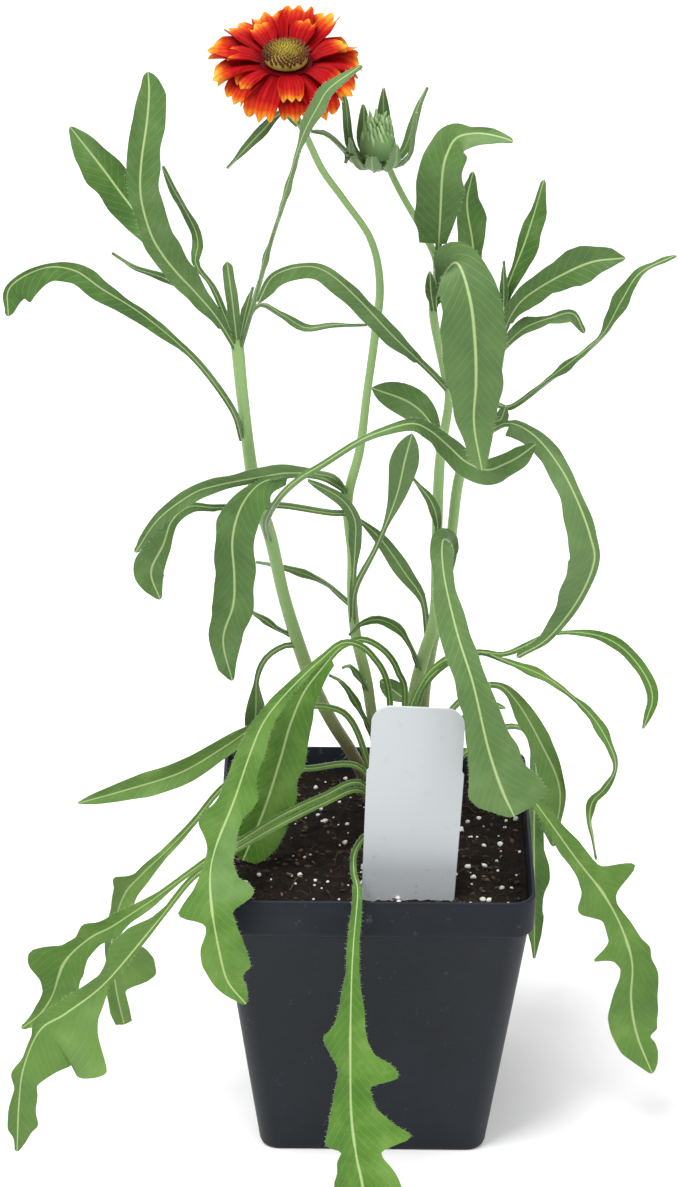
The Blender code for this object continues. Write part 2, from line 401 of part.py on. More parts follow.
        ((0.34, 1.4), (0.45, 1.8), (0.5, 2.2), (0.55, 3.2), (0.595, 4.7), (0.607, 6.0), (0.618, 8.8),
         (0.638, 7.4), (0.658, 5.6), (0.677, 4.1), (0.7, 4.3), (0.723, 5.5), (0.752, 7.0), (0.778, 7.1),
         (0.80, 8.8), (0.81, 8.5), (0.82, 3.6), (0.835, 6.0), (0.855, 6.7), (0.868, 8.2), (0.9, 9.0),
         (0.94, 8.0), (0.97, 5.0), (1, 0.6))),
    "right_lobed": (
        ((0.42, 1.2), (0.5, 2.6), (0.55, 3.8), (0.6, 4.0), (0.613, 4.6), (0.63, 10.8), (0.641, 13.5),
         (0.65, 8.4), (0.658, 3.6), (0.675, 2.1), (0.7, 2.7), (0.728, 3.7), (0.75, 4.8), (0.762, 6.5),
         (0.78, 5.8), (0.797, 7.7), (0.847, 8.6), (0.885, 7.6), (0.918, 7.7), (0.932, 3.6), (0.945, 4.6),
         (0.965, 4.3), (0.985, 2.8), (1, 0.6)),
        ((0.42, 1.2), (0.5, 2.0), (0.55, 3.2), (0.6, 3.6), (0.625, 5.4), (0.638, 10.0), (0.653, 9.9),
         (0.675, 6.6), (0.69, 4.4), (0.71, 4.9), (0.732, 5.7), (0.741, 9.2), (0.749, 14.6), (0.758, 9.4),
         (0.768, 5.7), (0.79, 3.9), (0.82, 4.6), (0.847, 5.6), (0.876, 7.8), (0.905, 7.7), (0.942, 6.3),
         (0.97, 4.1), (1, 0.6))),
    "right_plain": (
        ((0.45, 1.0), (0.5, 1.0), (0.6, 2.8), (0.7, 3.5), (0.8, 2.2), (0.9, 1.4), (1, 0.5)),
        ((0.45, 0.8), (0.55, 1.4), (0.6, 3.4), (0.7, 4.1), (0.8, 5.4), (0.9, 6.4), (0.95, 4.5), (1, 0.6))),
}


def along(points, count):
    """Smooth curve through the points, as `count` places evenly spread along its length."""
    knots = [np.array(place(p)) for p in points]
    knots = [2 * knots[0] - knots[1]] + knots + [2 * knots[-1] - knots[-2]]
    fine = []
    for a, b, c, d in zip(knots, knots[1:], knots[2:], knots[3:]):
        for k in range(12):
            t = k / 12
            fine.append(0.5 * (2 * b + (c - a) * t + (2 * a - 5 * b + 4 * c - d) * t * t
                               + (3 * b - a - 3 * c + d) * t ** 3))
    fine.append(knots[-2])
    fine = np.array(fine)
    run = np.concatenate(([0], np.cumsum(np.linalg.norm(np.diff(fine, axis=0), axis=1))))
    steps = np.linspace(0, run[-1], count) if np.isscalar(count) else np.asarray(count) * run[-1]
    return np.stack([np.interp(steps, run, fine[:, i]) for i in range(3)], axis=1), run[-1]


def new_object(name, verts, faces, collection):
    """Mesh object from places in millimetres, with its faces turned outward."""
    mesh = bpy.data.meshes.new(name)
    mesh.from_pydata([tuple(MM * c for c in v) for v in verts], [], faces)
    work = bmesh.new()
    work.from_mesh(mesh)
    bmesh.ops.recalc_face_normals(work, faces=work.faces)
    work.to_mesh(mesh)
    work.free()
    obj = bpy.data.objects.new(name, mesh)
    collection.objects.link(obj)
    return obj


def slab(name, middle, normal, thick, collection):
    """Closed sheet round a grid of mid-places (rows x across), `thick` mm along each normal.

    Both faces are split into the same triangles, so the sheet keeps its thickness where it waves.
    """
    rows, across = middle.shape[:2]
    half = 0.5 * thick * normal
    verts = list((middle + half).reshape(-1, 3)) + list((middle - half).reshape(-1, 3))
    under = rows * across
    faces = []
    for i in range(rows - 1):
        for j in range(across - 1):
            a, b, c, d = (i * across + j, i * across + j + 1, (i + 1) * across + j + 1,
                          (i + 1) * across + j)
            split = ((a, b, c), (a, c, d)) if j < (across - 1) / 2 else ((a, b, d), (b, c, d))
            for tri in split:
                faces.append(tri)
                faces.append(tuple(under + k for k in reversed(tri)))
    rim = ([(0, j) for j in range(across)] + [(i, across - 1) for i in range(1, rows)]
           + [(rows - 1, j) for j in range(across - 2, -1, -1)] + [(i, 0) for i in range(rows - 2, 0, -1)])
    rim = [i * across + j for i, j in rim]
    for a, b in zip(rim, rim[1:] + rim[:1]):
        faces.append((a, b, b + under))
        faces.append((a, b + under, a + under))
    return new_object(name, verts, faces, collection)


def leaf_stations(spec):
    """Where along its length a leaf gets a cross-section: 0 at the root, 1 at the tip."""
    stalk = spec["stalk"]
    _, length = along(spec["spine"], 2)
    stalk_steps = max(1, round(stalk * length / 11))
    plain_steps = max(3, round((1 - stalk) * length / 10.5))
    if spec["name"] in EDGES:
        shares = sorted({s for edge in EDGES[spec["name"]] for s, _ in edge if stalk < s < 1 - EDGE_STEP})
        kept = [stalk]
        for s in shares:
            if s - kept[-1] >= EDGE_STEP:
                kept.append(s)
        return [stalk * k / stalk_steps for k in range(stalk_steps)] + kept + [1.0]
    blade_steps = plain_steps if spec["cleft"] == 0 else spec["lobes"] * (4 if deep(spec) else 2) + 1
    bunch = 1.0 if spec["cleft"] else TIP_BUNCH
    blade = [stalk + (1 - stalk) * (1 - (1 - k / blade_steps) ** bunch) for k in range(blade_steps)]
    return [stalk * k / stalk_steps for k in range(stalk_steps)] + blade + [1.0]


def deep(spec):
    """Whether the leaf has long lobes, not just teeth."""
    return spec["cleft"] >= DEEP_CLEFT


def lobe_reach(spec, step, on_left):
    """How far the edge reaches at a blade station, as a part of the half width, and how far forward."""
    cleft = spec["cleft"]
    period = 4 if deep(spec) else 2
    if cleft == 0 or step <= 0 or step > period * spec["lobes"]:
        return 1.0, 0.0
    on_tip = step % period == (1 if on_left else period // 2 + 1) % period
    return (1.0, 0.4 * cleft) if on_tip else (1.0 - cleft, -0.05 * cleft)


def half_width(spec, s, on_left=True):
    """How far the blade reaches from the midrib at s, without its lobes."""
    if s <= spec["stalk"]:
        return STALK_HALF
    if spec["name"] in EDGES:
        shares, reach = zip(*EDGES[spec["name"]][0 if on_left else 1])
        return max(STALK_HALF, float(np.interp(s, shares, reach))) if s < 1 else max(TIP_HALF, reach[-1])
    b = (s - spec["stalk"]) / (1 - spec["stalk"])
    bow = math.sin(math.pi * b ** (math.log(0.5) / math.log(spec["peak"]))) ** 0.66 if b < 1 else 0.0
    return max(TIP_HALF + (STALK_HALF - TIP_HALF) * (1 - b), 0.5 * spec["width"] * bow)


def build_leaf(spec, collection):
    """Leaf blade and stalk as one closed sheet along its spine, folded up a little at the midrib."""
    stations = leaf_stations(spec)
    spine, length = along(spec["spine"], stations)
    tangents = np.gradient(spine, axis=0)
    tangents /= np.linalg.norm(tangents, axis=1)[:, None]
    across = 5 if spec["width"] >= WIDE_LEAF and spec["name"] not in EDGES else 3
    steps = np.linspace(-1, 1, across)
    fold = math.radians(spec["fold"])
    stalk_count = sum(1 for s in stations if s < spec["stalk"] - 1e-9)
    middle, normals, last_side = [], [], None
    for i, (s, centre, along_dir) in enumerate(zip(stations, spine, tangents)):
        to_eye = spec["faces"] - centre
        side = np.cross(along_dir, to_eye / np.linalg.norm(to_eye))
        side /= np.linalg.norm(side)
        if last_side is not None and side @ last_side < 0:
            side = -side
        last_side = side.copy()
        up = np.cross(side, along_dir)
        up *= math.copysign(1, up @ to_eye)
        roll = math.radians(spec["roll"][0] + (spec["roll"][1] - spec["roll"][0]) * s)
        side, up = side * math.cos(roll) + up * math.sin(roll), up * math.cos(roll) - side * math.sin(roll)
        step = i - stalk_count
        row = []
        for u in steps:
            half = half_width(spec, s, u < 0)
            share, forward = lobe_reach(spec, step, u < 0)
            if deep(spec) and abs(u) < 1:
                share, forward = 1 - spec["cleft"], 0.0
            reach, sweep = half * share, half * forward
            ripple = spec["wave"] * math.sin(2.4 * step + 1.3 * u) if step > 0 and s < 1 else 0.0
            row.append(centre + u * reach * math.cos(fold) * side
                       + (abs(u) * reach * math.sin(fold) + ripple * u * u) * up
                       + u * u * sweep * along_dir)
        middle.append(row)
        thick = STALK_THICK if i == 0 else (1.25 if s < spec["stalk"] else BLADE)
        normals.append([up * thick / BLADE] * across)
    return slab(spec["name"], np.array(middle), np.array(normals), BLADE, collection)


def build_stem(name, spec, collection):
    """Round stem from its foot in the soil along its spine, thinner toward the top."""
    x, y = spec["foot"]
    points = [mm(x, y, HOLE_BOTTOM + 0.5), mm(x, y, 76), mm(x, y, SOIL_TOP + 2.5)] + spec["spine"]
    _, length = along(points, 2)
    count = max(8, round(length / 9))
    spine, _ = along(points, count)
    spine[:3, 0], spine[:3, 1] = x, y
    curve = bpy.data.curves.new(name, "CURVE")
    curve.dimensions = "3D"
    curve.bevel_depth = MM
    curve.bevel_resolution = 2
    curve.use_fill_caps = True
    spline = curve.splines.new("POLY")
    spline.points.add(count - 1)
    for k, (point, at) in enumerate(zip(spline.points, spine)):
        point.co = (*(MM * at), 1)
        share = k / (count - 1)
        point.radius = spec["radii"][0] * (1 - share) + spec["radii"][1] * share
    return curve_to_mesh(name, curve, collection)


def curve_to_mesh(name, curve, collection):
    """Mesh object made from a bevelled curve, with its end caps joined on."""
    temp = bpy.data.objects.new(name, curve)
    collection.objects.link(temp)
    bpy.context.view_layer.update()
    depsgraph = bpy.context.evaluated_depsgraph_get()
    mesh = bpy.data.meshes.new_from_object(temp.evaluated_get(depsgraph))
    bpy.data.objects.remove(temp)
    bpy.data.curves.remove(curve)
    work = bmesh.new()
    work.from_mesh(mesh)
    bmesh.ops.remove_doubles(work, verts=work.verts, dist=1e-6)
    bmesh.ops.recalc_face_normals(work, faces=work.faces)
    work.to_mesh(mesh)
    work.free()
    mesh.name = name
    obj = bpy.data.objects.new(name, mesh)
    collection.objects.link(obj)
    return obj


def fuse(target, pieces, solver="MANIFOLD"):
    """Join the collection of pieces to the target with one union, and remove the pieces."""
    union = target.modifiers.new("join", "BOOLEAN")
    union.operation, union.operand_type, union.solver = "UNION", "COLLECTION", solver
    union.collection = pieces
    apply_modifiers(target)
    for piece in list(pieces.objects):
        bpy.data.objects.remove(piece)
    bpy.data.collections.remove(pieces)


def apply_modifiers(obj):
    """Give the object the mesh that its modifiers make."""
    depsgraph = bpy.context.evaluated_depsgraph_get()
    mesh = bpy.data.meshes.new_from_object(obj.evaluated_get(depsgraph))
    old = obj.data
    obj.modifiers.clear()
    obj.data = mesh
    bpy.data.meshes.remove(old)
    mesh.name = obj.name


def pieces_collection(name):
    """Empty collection in the scene for what will be joined."""
    collection = bpy.data.collections.new(name)
    bpy.context.scene.collection.children.link(collection)
    return collection


def rounded_square(half, radius, z):
    """Ring of places round a square with rounded corners, from the right side round by the back."""
    ring = []
    for corner in range(4):
        cx = (half - radius) * (1 if corner in (0, 3) else -1)
        cy = (half - radius) * (1 if corner in (0, 1) else -1)
        for k in range(CORNER_STEPS):
            angle = math.pi / 2 * (corner + k / (CORNER_STEPS - 1))
            ring.append((cx + radius * math.cos(angle), cy + radius * math.sin(angle), z))
    return ring


def loft(name, rings, collection, close=True):
    """Solid through a row of rings with equal counts; the first and last ring are closed over."""
    verts = [v for ring in rings for v in ring]
    count = len(rings[0])
    faces = []
    for r in range(len(rings) - 1):
        for k in range(count):
            a, b = r * count + k, r * count + (k + 1) % count
            faces.append((a, b, b + count, a + count))
    if close:
        faces.append(tuple(range(count)))
        faces.append(tuple((len(rings) - 1) * count + k for k in range(count)))
    return new_object(name, verts, faces, collection)


def build_pot(collection, cutters):
    """Thin square pot with a rim band, a flat base and four drain holes."""
    band_bottom = POT_HEIGHT - RIM_BAND
    taper = (POT_BODY_HALF - POT_BASE_HALF) / band_bottom
    rings = [
        rounded_square(POT_BASE_HALF - 0.9, POT_BASE_RADIUS - 0.7, 0),
        rounded_square(POT_BASE_HALF - 0.2, POT_BASE_RADIUS, 0.4),
        rounded_square(POT_BASE_HALF + taper * 1.5, POT_BASE_RADIUS, 1.5),
        rounded_square(POT_BODY_HALF, POT_RIM_RADIUS - 0.8, band_bottom),
        rounded_square(POT_RIM_HALF - 0.5, POT_RIM_RADIUS, band_bottom + 0.1),
        rounded_square(POT_RIM_HALF - 0.1, POT_RIM_RADIUS, band_bottom + 0.8),
        rounded_square(POT_RIM_HALF, POT_RIM_RADIUS, POT_HEIGHT - 0.7),
        rounded_square(POT_RIM_HALF - 0.35, POT_RIM_RADIUS - 0.3, POT_HEIGHT),
        rounded_square(POT_RIM_HALF - 1.0, POT_RIM_RADIUS - 0.9, POT_HEIGHT),
        rounded_square(POT_RIM_HALF - WALL - 0.1, POT_RIM_RADIUS - WALL, POT_HEIGHT - 0.5),
        rounded_square(POT_RIM_HALF - WALL - 0.3, POT_RIM_RADIUS - WALL, band_bottom + 2.0),
        rounded_square(POT_BODY_HALF - WALL, POT_RIM_RADIUS - 0.8 - WALL, band_bottom - 1.0),
        rounded_square(POT_BASE_HALF + taper * POT_FLOOR - WALL, POT_BASE_RADIUS - WALL, POT_FLOOR),
    ]
    pot = loft("pot", rings, collection)
    for k, (sx, sy) in enumerate(((1, 1), (-1, 1), (-1, -1), (1, -1))):
        bpy.ops.mesh.primitive_cylinder_add(vertices=20, radius=DRAIN_RADIUS * MM, depth=8 * MM,
                                            location=(sx * DRAIN_OFFSET * MM, sy * DRAIN_OFFSET * MM, 0))
        cut(pot, bpy.context.object, f"cut_drain_{k}", cutters)
    apply_modifiers(pot)
    return pot


def cut(target, cutter, name, cutters, solver="EXACT"):
    """Cut the target with a cutter, which is kept aside, unseen."""
    cutter.name = name
    for owner in list(cutter.users_collection):
        owner.objects.unlink(cutter)
    cutters.objects.link(cutter)
    cutter.hide_render = True
    cutter.display_type = "WIRE"
    step = target.modifiers.new(name, "BOOLEAN")
    step.operation, step.object, step.solver = "DIFFERENCE", cutter, solver


def build_soil(collection, cutters, rng):
    """Soil that fills the pot, lumpy on top, with a plain hole for each thing that stands in it."""
    band_bottom = POT_HEIGHT - RIM_BAND
    taper = (POT_BODY_HALF - POT_BASE_HALF) / band_bottom
    low = POT_FLOOR + SOIL_GAP
    low_half = POT_BASE_HALF + taper * low - WALL - SOIL_GAP
    step_half = POT_BODY_HALF - WALL - SOIL_GAP
    rings = [rounded_square(low_half, POT_BASE_RADIUS - WALL, low),
             rounded_square(step_half - 0.15, POT_RIM_RADIUS - 0.8 - WALL, band_bottom - 1.2),
             rounded_square(step_half + 0.1, POT_RIM_RADIUS - WALL, SOIL_TOP - 0.9)]
    for share in (0.97, 0.80, 0.60, 0.38, 0.16):
        ring = rounded_square(step_half * share, (POT_RIM_RADIUS - WALL) * share, SOIL_TOP)
        rings.append([(x + rng.uniform(-0.5, 0.5) * share, y + rng.uniform(-0.5, 0.5) * share,
                       z + rng.uniform(-SOIL_LUMP, SOIL_LUMP)) for x, y, z in ring])
    rings[-1] = [(x, y, SOIL_TOP) for x, y, _ in rings[-1]]
    soil = loft("soil", rings, collection)
    holes = [(spec["foot"], spec["radii"][0] + HOLE_GAP) for spec in STEMS.values()]
    holes.append(((CROWN.x, CROWN.y), 3.4 + HOLE_GAP))
    depth = SOIL_TOP + 6 - HOLE_BOTTOM
    for k, ((x, y), radius) in enumerate(holes):
        bpy.ops.mesh.primitive_cylinder_add(vertices=16, radius=radius * MM, depth=depth * MM,
                                            location=(x * MM, y * MM, (HOLE_BOTTOM + depth / 2) * MM))
        cut(soil, bpy.context.object, f"cut_hole_{k}", cutters, "MANIFOLD")
    slot = label_body("cut_label", cutters, HOLE_GAP)
    cut(soil, slot, "cut_label", cutters, "MANIFOLD")
    apply_modifiers(soil)
    return soil


def label_body(name, collection, grow=0.0):
    """Flat tag with a rounded top, a shoulder on each side and a blunt point in the soil."""
    foot = mm(LABEL_FOOT_X, LABEL_FOOT_Y, LABEL_FOOT_Z)
    lean = mm(LABEL_TOP_X, LABEL_TOP_Y, LABEL_TOP_Z) - foot
    height = lean.length
    rise = lean.normalized()
    front = Vector((0, -rise.z, rise.y)).normalized()
    right = rise.cross(front)
    right *= math.copysign(1, right.x)
    half, neck, r = LABEL_WIDTH / 2 + grow, LABEL_NECK / 2 + grow, LABEL_CORNER
    outline = [(-6 - grow, -grow), (6 + grow, -grow), (half - 0.6, 12), (half, height - LABEL_SHOULDER),
               (neck, height - LABEL_SHOULDER + 0.8)]
    outline += [(neck - r + r * math.cos(a), height - r + r * math.sin(a))
                for a in [math.radians(15 * k) for k in range(1, 7)]]
    outline += [(-u, v) for u, v in reversed(outline[2:])]
    thick = LABEL_THICK / 2 + grow
    rings = [[foot + right * u + rise * v + front * (side * thick) for u, v in outline]
             for side in (-1, 1)]
    return loft(name, [[tuple(p) for p in ring] for ring in rings], collection)


def build_crown(collection):
    """Short crown that the low leaves spring from, with a peg into the soil."""
    bpy.ops.mesh.primitive_uv_sphere_add(segments=12, ring_count=7, radius=CROWN_RADIUS * MM,
                                         location=tuple(MM * c for c in CROWN))
    crown = bpy.context.object
    crown.name = crown.data.name = "rosette"
    crown.scale = (1, 1, 0.55)
    bpy.ops.object.transform_apply(location=True, rotation=False, scale=True)
    for owner in list(crown.users_collection):
        owner.objects.unlink(crown)
    collection.objects.link(crown)
    return crown


def add_peg(collection):
    """Peg of the crown, down in the soil."""
    top, bottom = CROWN.z, HOLE_BOTTOM + 0.5
    bpy.ops.mesh.primitive_cylinder_add(vertices=12, radius=3.4 * MM, depth=(top - bottom) * MM,
                                        location=(CROWN.x * MM, CROWN.y * MM, (top + bottom) / 2 * MM))
    peg = bpy.context.object
    peg.name = "peg"
    for owner in list(peg.users_collection):
        owner.objects.unlink(peg)
    collection.objects.link(peg)


BLOOM_CENTRE = place((286, 63, -4))
BLOOM_AXIS = Vector((0, -math.sin(BLOOM_TILT), math.cos(BLOOM_TILT)))
BLOOM_BACK = Vector((0, math.cos(BLOOM_TILT), math.sin(BLOOM_TILT)))


def bloom_place(radius, azimuth, height):
    """Place in the bloom's own frame: azimuth 0 to the right and 90 degrees to the back."""
    flat = Vector((1, 0, 0)) * math.cos(azimuth) + BLOOM_BACK * math.sin(azimuth)
    return BLOOM_CENTRE + flat * radius + BLOOM_AXIS * height


def build_ray(name, azimuth, length, width, lift, droop, base_height, rng, collection):
    """Wedge ray with three teeth at its tip, which rises from the disc and then bends down."""
    flat = Vector((1, 0, 0)) * math.cos(azimuth) + BLOOM_BACK * math.sin(azimuth)
    side = BLOOM_AXIS.cross(flat).normalized()
    twist = rng.uniform(-0.25, 0.25)
    shares = (0.0, 0.48, 0.86)
    teeth = (0.8, 0.0, 1.1, 0.0, 0.8)
    steps = np.linspace(-1, 1, len(teeth))
    angle, point = lift, bloom_place(RING_RADIUS - 0.6, azimuth, base_height)
    middle, normals, last = [], [], 0.0
    for k, share in enumerate(shares):
        angle = lift - droop * share
        forward = flat * math.cos(angle) + BLOOM_AXIS * math.sin(angle)
        point = point + forward * (share - last) * length
        last = share
        up = (BLOOM_AXIS * math.cos(angle) - flat * math.sin(angle)).normalized()
        half = 0.5 * width * (0.36, 0.92, 0.98)[k]
        turn = side * math.cos(twist * share) + up * math.sin(twist * share)
        row = []
        for u, tooth in zip(steps, teeth):
            out = tooth * length * 0.17 if k == len(shares) - 1 else 0.0
            cup = (0.18 * half * (u * u) + 0.10 * half * math.cos(2 * math.pi * u)) * (1 if k else 0.3)
            row.append(point + turn * (u * half) + up * cup + forward * out)
        middle.append([tuple(p) for p in row])
        normals.append([tuple(up)] * len(teeth))
    return slab(name, np.array(middle), np.array(normals), 0.65, collection)


def build_bloom(collection, rng):
    """Ray florets in two layers on one ring."""
    pieces = pieces_collection("ray_pieces")
    ring = [[tuple(bloom_place(RING_RADIUS, 2 * math.pi * k / 20, h)) for k in range(20)]
            for h in (-0.9, 0.5)]
    rays = loft("bloom_rays", ring, collection)
    for layer, count, length, width in ((0, RAYS_OUTER, 14.0, 9.4), (1, RAYS_INNER, 9.5, 7.0)):
        for k in range(count):
            azimuth = 2 * math.pi * (k + 0.37 * layer + rng.uniform(-0.12, 0.12)) / count
            back = math.sin(azimuth)
            lift = math.radians(10 + 16 * max(0, back) + 14 * layer + rng.uniform(-5, 5))
            droop = math.radians(34 + 44 * max(0, -back) - 24 * max(0, back) + rng.uniform(-8, 8))
            build_ray(f"ray_{layer}_{k}", azimuth, length * rng.uniform(0.93, 1.05), width, lift, droop,
                      -0.4 + 0.45 * layer + 0.25 * (k % 2), rng, pieces)
    fuse(rays, pieces)
    return rays


def build_dome(name, centre, axis, radius, height, collection, below=0.0):
    """Flattened dome along an axis, closed underneath."""
    side = Vector((1, 0, 0))
    back = axis.cross(side).normalized()
    rings = [(0.55, -below), (0.97, 0.0), (1.0, 0.22), (0.92, 0.52), (0.70, 0.80), (0.38, 0.96)]
    out = []
    for share, rise in rings:
        out.append([tuple(centre + side * radius * share * math.cos(a) + back * radius * share * math.sin(a)
                          + axis * height * rise) for a in [2 * math.pi * k / 18 for k in range(18)]])
    out.append([tuple(Vector(v) * 0.5 + (centre + axis * height) * 0.5) for v in out[-1]])
    return loft(name, out, collection)


def floret(name, base, direction, length, radius, collection):
    """Small five-sided cone sunk into what carries it."""
    bpy.ops.mesh.primitive_cone_add(vertices=5, radius1=radius * MM, radius2=0.3 * radius * MM,
                                    depth=length * MM)
    cone = bpy.context.object
    cone.name = name
    cone.rotation_mode = "QUATERNION"
    cone.rotation_quaternion = direction.to_track_quat("Z", "Y")
    cone.location = (base + direction * length / 2) * MM
    bpy.ops.object.transform_apply(location=True, rotation=True, scale=False)
    for owner in list(cone.users_collection):
        owner.objects.unlink(cone)
    collection.objects.link(cone)


def build_disc(collection, rng):
    """Disc of small florets in a spiral on a low dome."""
    seat = 1.1
    centre = BLOOM_CENTRE + BLOOM_AXIS * seat
    disc = build_dome("bloom_disc", centre, BLOOM_AXIS, DISC_RADIUS, DISC_HEIGHT, collection)
    pieces = pieces_collection("disc_pieces")
    for k in range(DISC_FLORETS):
        share = math.sqrt((k + 0.5) / DISC_FLORETS)
        azimuth = k * math.radians(137.5)
        flat = Vector((1, 0, 0)) * math.cos(azimuth) + BLOOM_BACK * math.sin(azimuth)
        height = DISC_HEIGHT * math.sqrt(max(0.05, 1 - (0.93 * share) ** 2))
        base = centre + flat * DISC_RADIUS * 0.86 * share + BLOOM_AXIS * (height - 1.2)
        direction = (BLOOM_AXIS + flat * 0.5 * share).normalized()
        floret(f"floret_{k}", base, direction, 2.0 + 0.3 * share, 0.62, pieces)
    fuse(disc, pieces)
    return disc


def add_calyx(collection):
    """Green cup and short bracts under the bloom, on top of its stem."""
    profile = ((1.2, -9.0), (3.0, -6.5), (5.6, -3.2), (5.4, -1.3))
    rings = [[tuple(bloom_place(r, 2 * math.pi * k / 14, h)) for k in range(14)] for r, h in profile]
    loft("calyx", rings, collection)
    for k in range(7):
        azimuth = 2 * math.pi * (k + 0.5) / 7
        spine = [bloom_place(3.2, azimuth, -5.2), bloom_place(6.5, azimuth, -4.4),
                 bloom_place(9.3, azimuth, -5.6), bloom_place(11.2, azimuth, -8.2)]
        build_leaf(leaf(f"calyx_{k}", spine, 3.4, 0.05, 0.35, fold=0, wave=0.0,
                        faces=BLOOM_CENTRE + BLOOM_AXIS * 60), collection)


BUD_CENTRE = place((378, 137, 8))
# Bracts round the bud: azimuth in degrees, reach outward and height of the tip, mm.
BUD_BRACTS = ((150, 11, 11), (185, 18, 2), (218, 11, -5), (80, 8, 11), (25, 14.5, 12), (-15, 10.5, 8),
              (-60, 10, 1), (-100, 9.5, -3), (-140, 10, 2), (115, 9.5, 6))


def add_bud_bracts(collection):
    """Cup and spreading bracts that hold the bud."""
    profile = ((1.3, -9.5), (3.2, -8.0), (4.2, -6.5), (2.0, -6.2))
    rings = [[tuple(BUD_CENTRE + mm(r * math.cos(a), r * math.sin(a), h))
              for a in [2 * math.pi * k / 12 for k in range(12)]] for r, h in profile]
    loft("bud_cup", rings, collection)
    for k, (azimuth, reach, tip) in enumerate(BUD_BRACTS):
        angle = math.radians(azimuth)
        out = Vector((math.cos(angle), math.sin(angle), 0))
        spine = [BUD_CENTRE + out * r + mm(0, 0, h) for r, h in
                 ((2.4, -7.8), (6.0, -7.2), (9.0, -3.4), ((9.2 + reach) / 2, tip * 0.5), (reach, tip))]
        build_leaf(leaf(f"bud_bract_{k}", spine, 4.2, 0.05, 0.4, fold=0, wave=0.0,
                        faces=BUD_CENTRE + mm(0, 0, 14)), collection)


def build_bud(collection, rng):
    """Closed head of the bud with its young florets curving inward."""
    bud = build_dome("bud_florets", BUD_CENTRE - mm(0, 0, 5.2), Vector((0, 0, 1)), BUD_RADIUS, 9.2,
                     collection)
    pieces = pieces_collection("bud_pieces")
    for k in range(BUD_FLORETS):
        share = math.sqrt((k + 0.8) / BUD_FLORETS)
        angle = k * math.radians(137.5)
        out = Vector((math.cos(angle), math.sin(angle), 0))
        base = BUD_CENTRE + out * BUD_RADIUS * 0.75 * share + mm(0, 0, 3.4 - 4.6 * share * share)
        direction = (Vector((0, 0, 1)) + out * (0.25 - 0.3 * share) + out.cross(Vector((0, 0, 1))) * 0.25)
        floret(f"bud_floret_{k}", base, direction.normalized(), 4.4, 0.8, pieces)
    fuse(bud, pieces)
    return bud


def material(name):
    """Plain material in the sub-part's colour."""
    colour, rough = COLOURS[name]
    mat = bpy.data.materials.new(name)
    mat.use_nodes = True
    shader = mat.node_tree.nodes["Principled BSDF"]
    shader.inputs["Base Color"].default_value = (*colour, 1)
    shader.inputs["Roughness"].default_value = rough
    shader.inputs["Metallic"].default_value = 0.0
    mat.diffuse_color = (*colour, 1)
    return mat


def main():
    for obj in list(bpy.data.objects):
        bpy.data.objects.remove(obj)
    rng = random.Random(SEED)
    plant = bpy.data.collections.new("blanket_flower_plant")
    cutters = bpy.data.collections.new("cutters")
    for collection in (plant, cutters):
        bpy.context.scene.collection.children.link(collection)
    parts = [build_pot(plant, cutters), build_soil(plant, cutters, rng), label_body("label", plant)]
    for name in LEAVES:
        pieces = pieces_collection(name + "_pieces")
        if name == "rosette":
            body = build_crown(plant)
            add_peg(pieces)
        else:
            body = build_stem(name, STEMS[name], plant)
        for spec in LEAVES[name]:
            build_leaf(spec, pieces)
        if name == "bloom_stem":
            add_calyx(pieces)
        if name == "bud_stem":
            add_bud_bracts(pieces)
        fuse(body, pieces)
        parts.append(body)
    parts += [build_bloom(plant, rng), build_disc(plant, rng), build_bud(plant, rng)]
    for part in parts:
        part.data.materials.clear()
        part.data.materials.append(material(part.name))


main()
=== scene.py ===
"""Blanket flower plant in its square pot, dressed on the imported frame.

The leaves, stems, bloom and bud are made again round the same lines as the solids that they stand
for, in millimetres in the row frame, with fine edges, veins and hairs. Places of the form
(column, row, depth) lie on a sight line of the 679 x 1187 picture, depth being millimetres behind
the pot's middle.
"""

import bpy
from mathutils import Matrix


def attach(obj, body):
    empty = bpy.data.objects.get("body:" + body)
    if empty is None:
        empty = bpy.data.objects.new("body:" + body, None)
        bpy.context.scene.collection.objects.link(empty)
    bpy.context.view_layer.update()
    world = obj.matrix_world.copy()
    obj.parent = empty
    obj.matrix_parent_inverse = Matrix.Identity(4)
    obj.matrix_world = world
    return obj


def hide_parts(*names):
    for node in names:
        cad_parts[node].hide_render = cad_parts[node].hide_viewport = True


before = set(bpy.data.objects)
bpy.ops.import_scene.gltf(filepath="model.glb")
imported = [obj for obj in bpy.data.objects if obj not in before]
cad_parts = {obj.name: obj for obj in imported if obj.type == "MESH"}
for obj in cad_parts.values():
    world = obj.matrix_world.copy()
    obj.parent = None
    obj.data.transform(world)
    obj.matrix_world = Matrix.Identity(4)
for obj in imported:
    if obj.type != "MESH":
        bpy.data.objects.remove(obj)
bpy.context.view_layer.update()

import math
import random

import bmesh
import bpy
import numpy as np
from mathutils import Matrix, Vector, noise

MM = 0.001
SEED = 11
RIGHT = Vector((1, 0, 0))
UP = Vector((0, 0, 1))

# The picture's viewpoint: place in mm, angles, and sizes in pixels, with the sensor in mm.
EYE = np.array((-11.1, -986.5, 668.5))
LOOK_DOWN = math.radians(26.98)
PICTURE_ROLL = math.radians(-0.52)
FOCAL = 3931.5
PICTURE_MIDDLE = (339.5, 593.5)
PICTURE_HEIGHT = 1187
SENSOR = 36.0

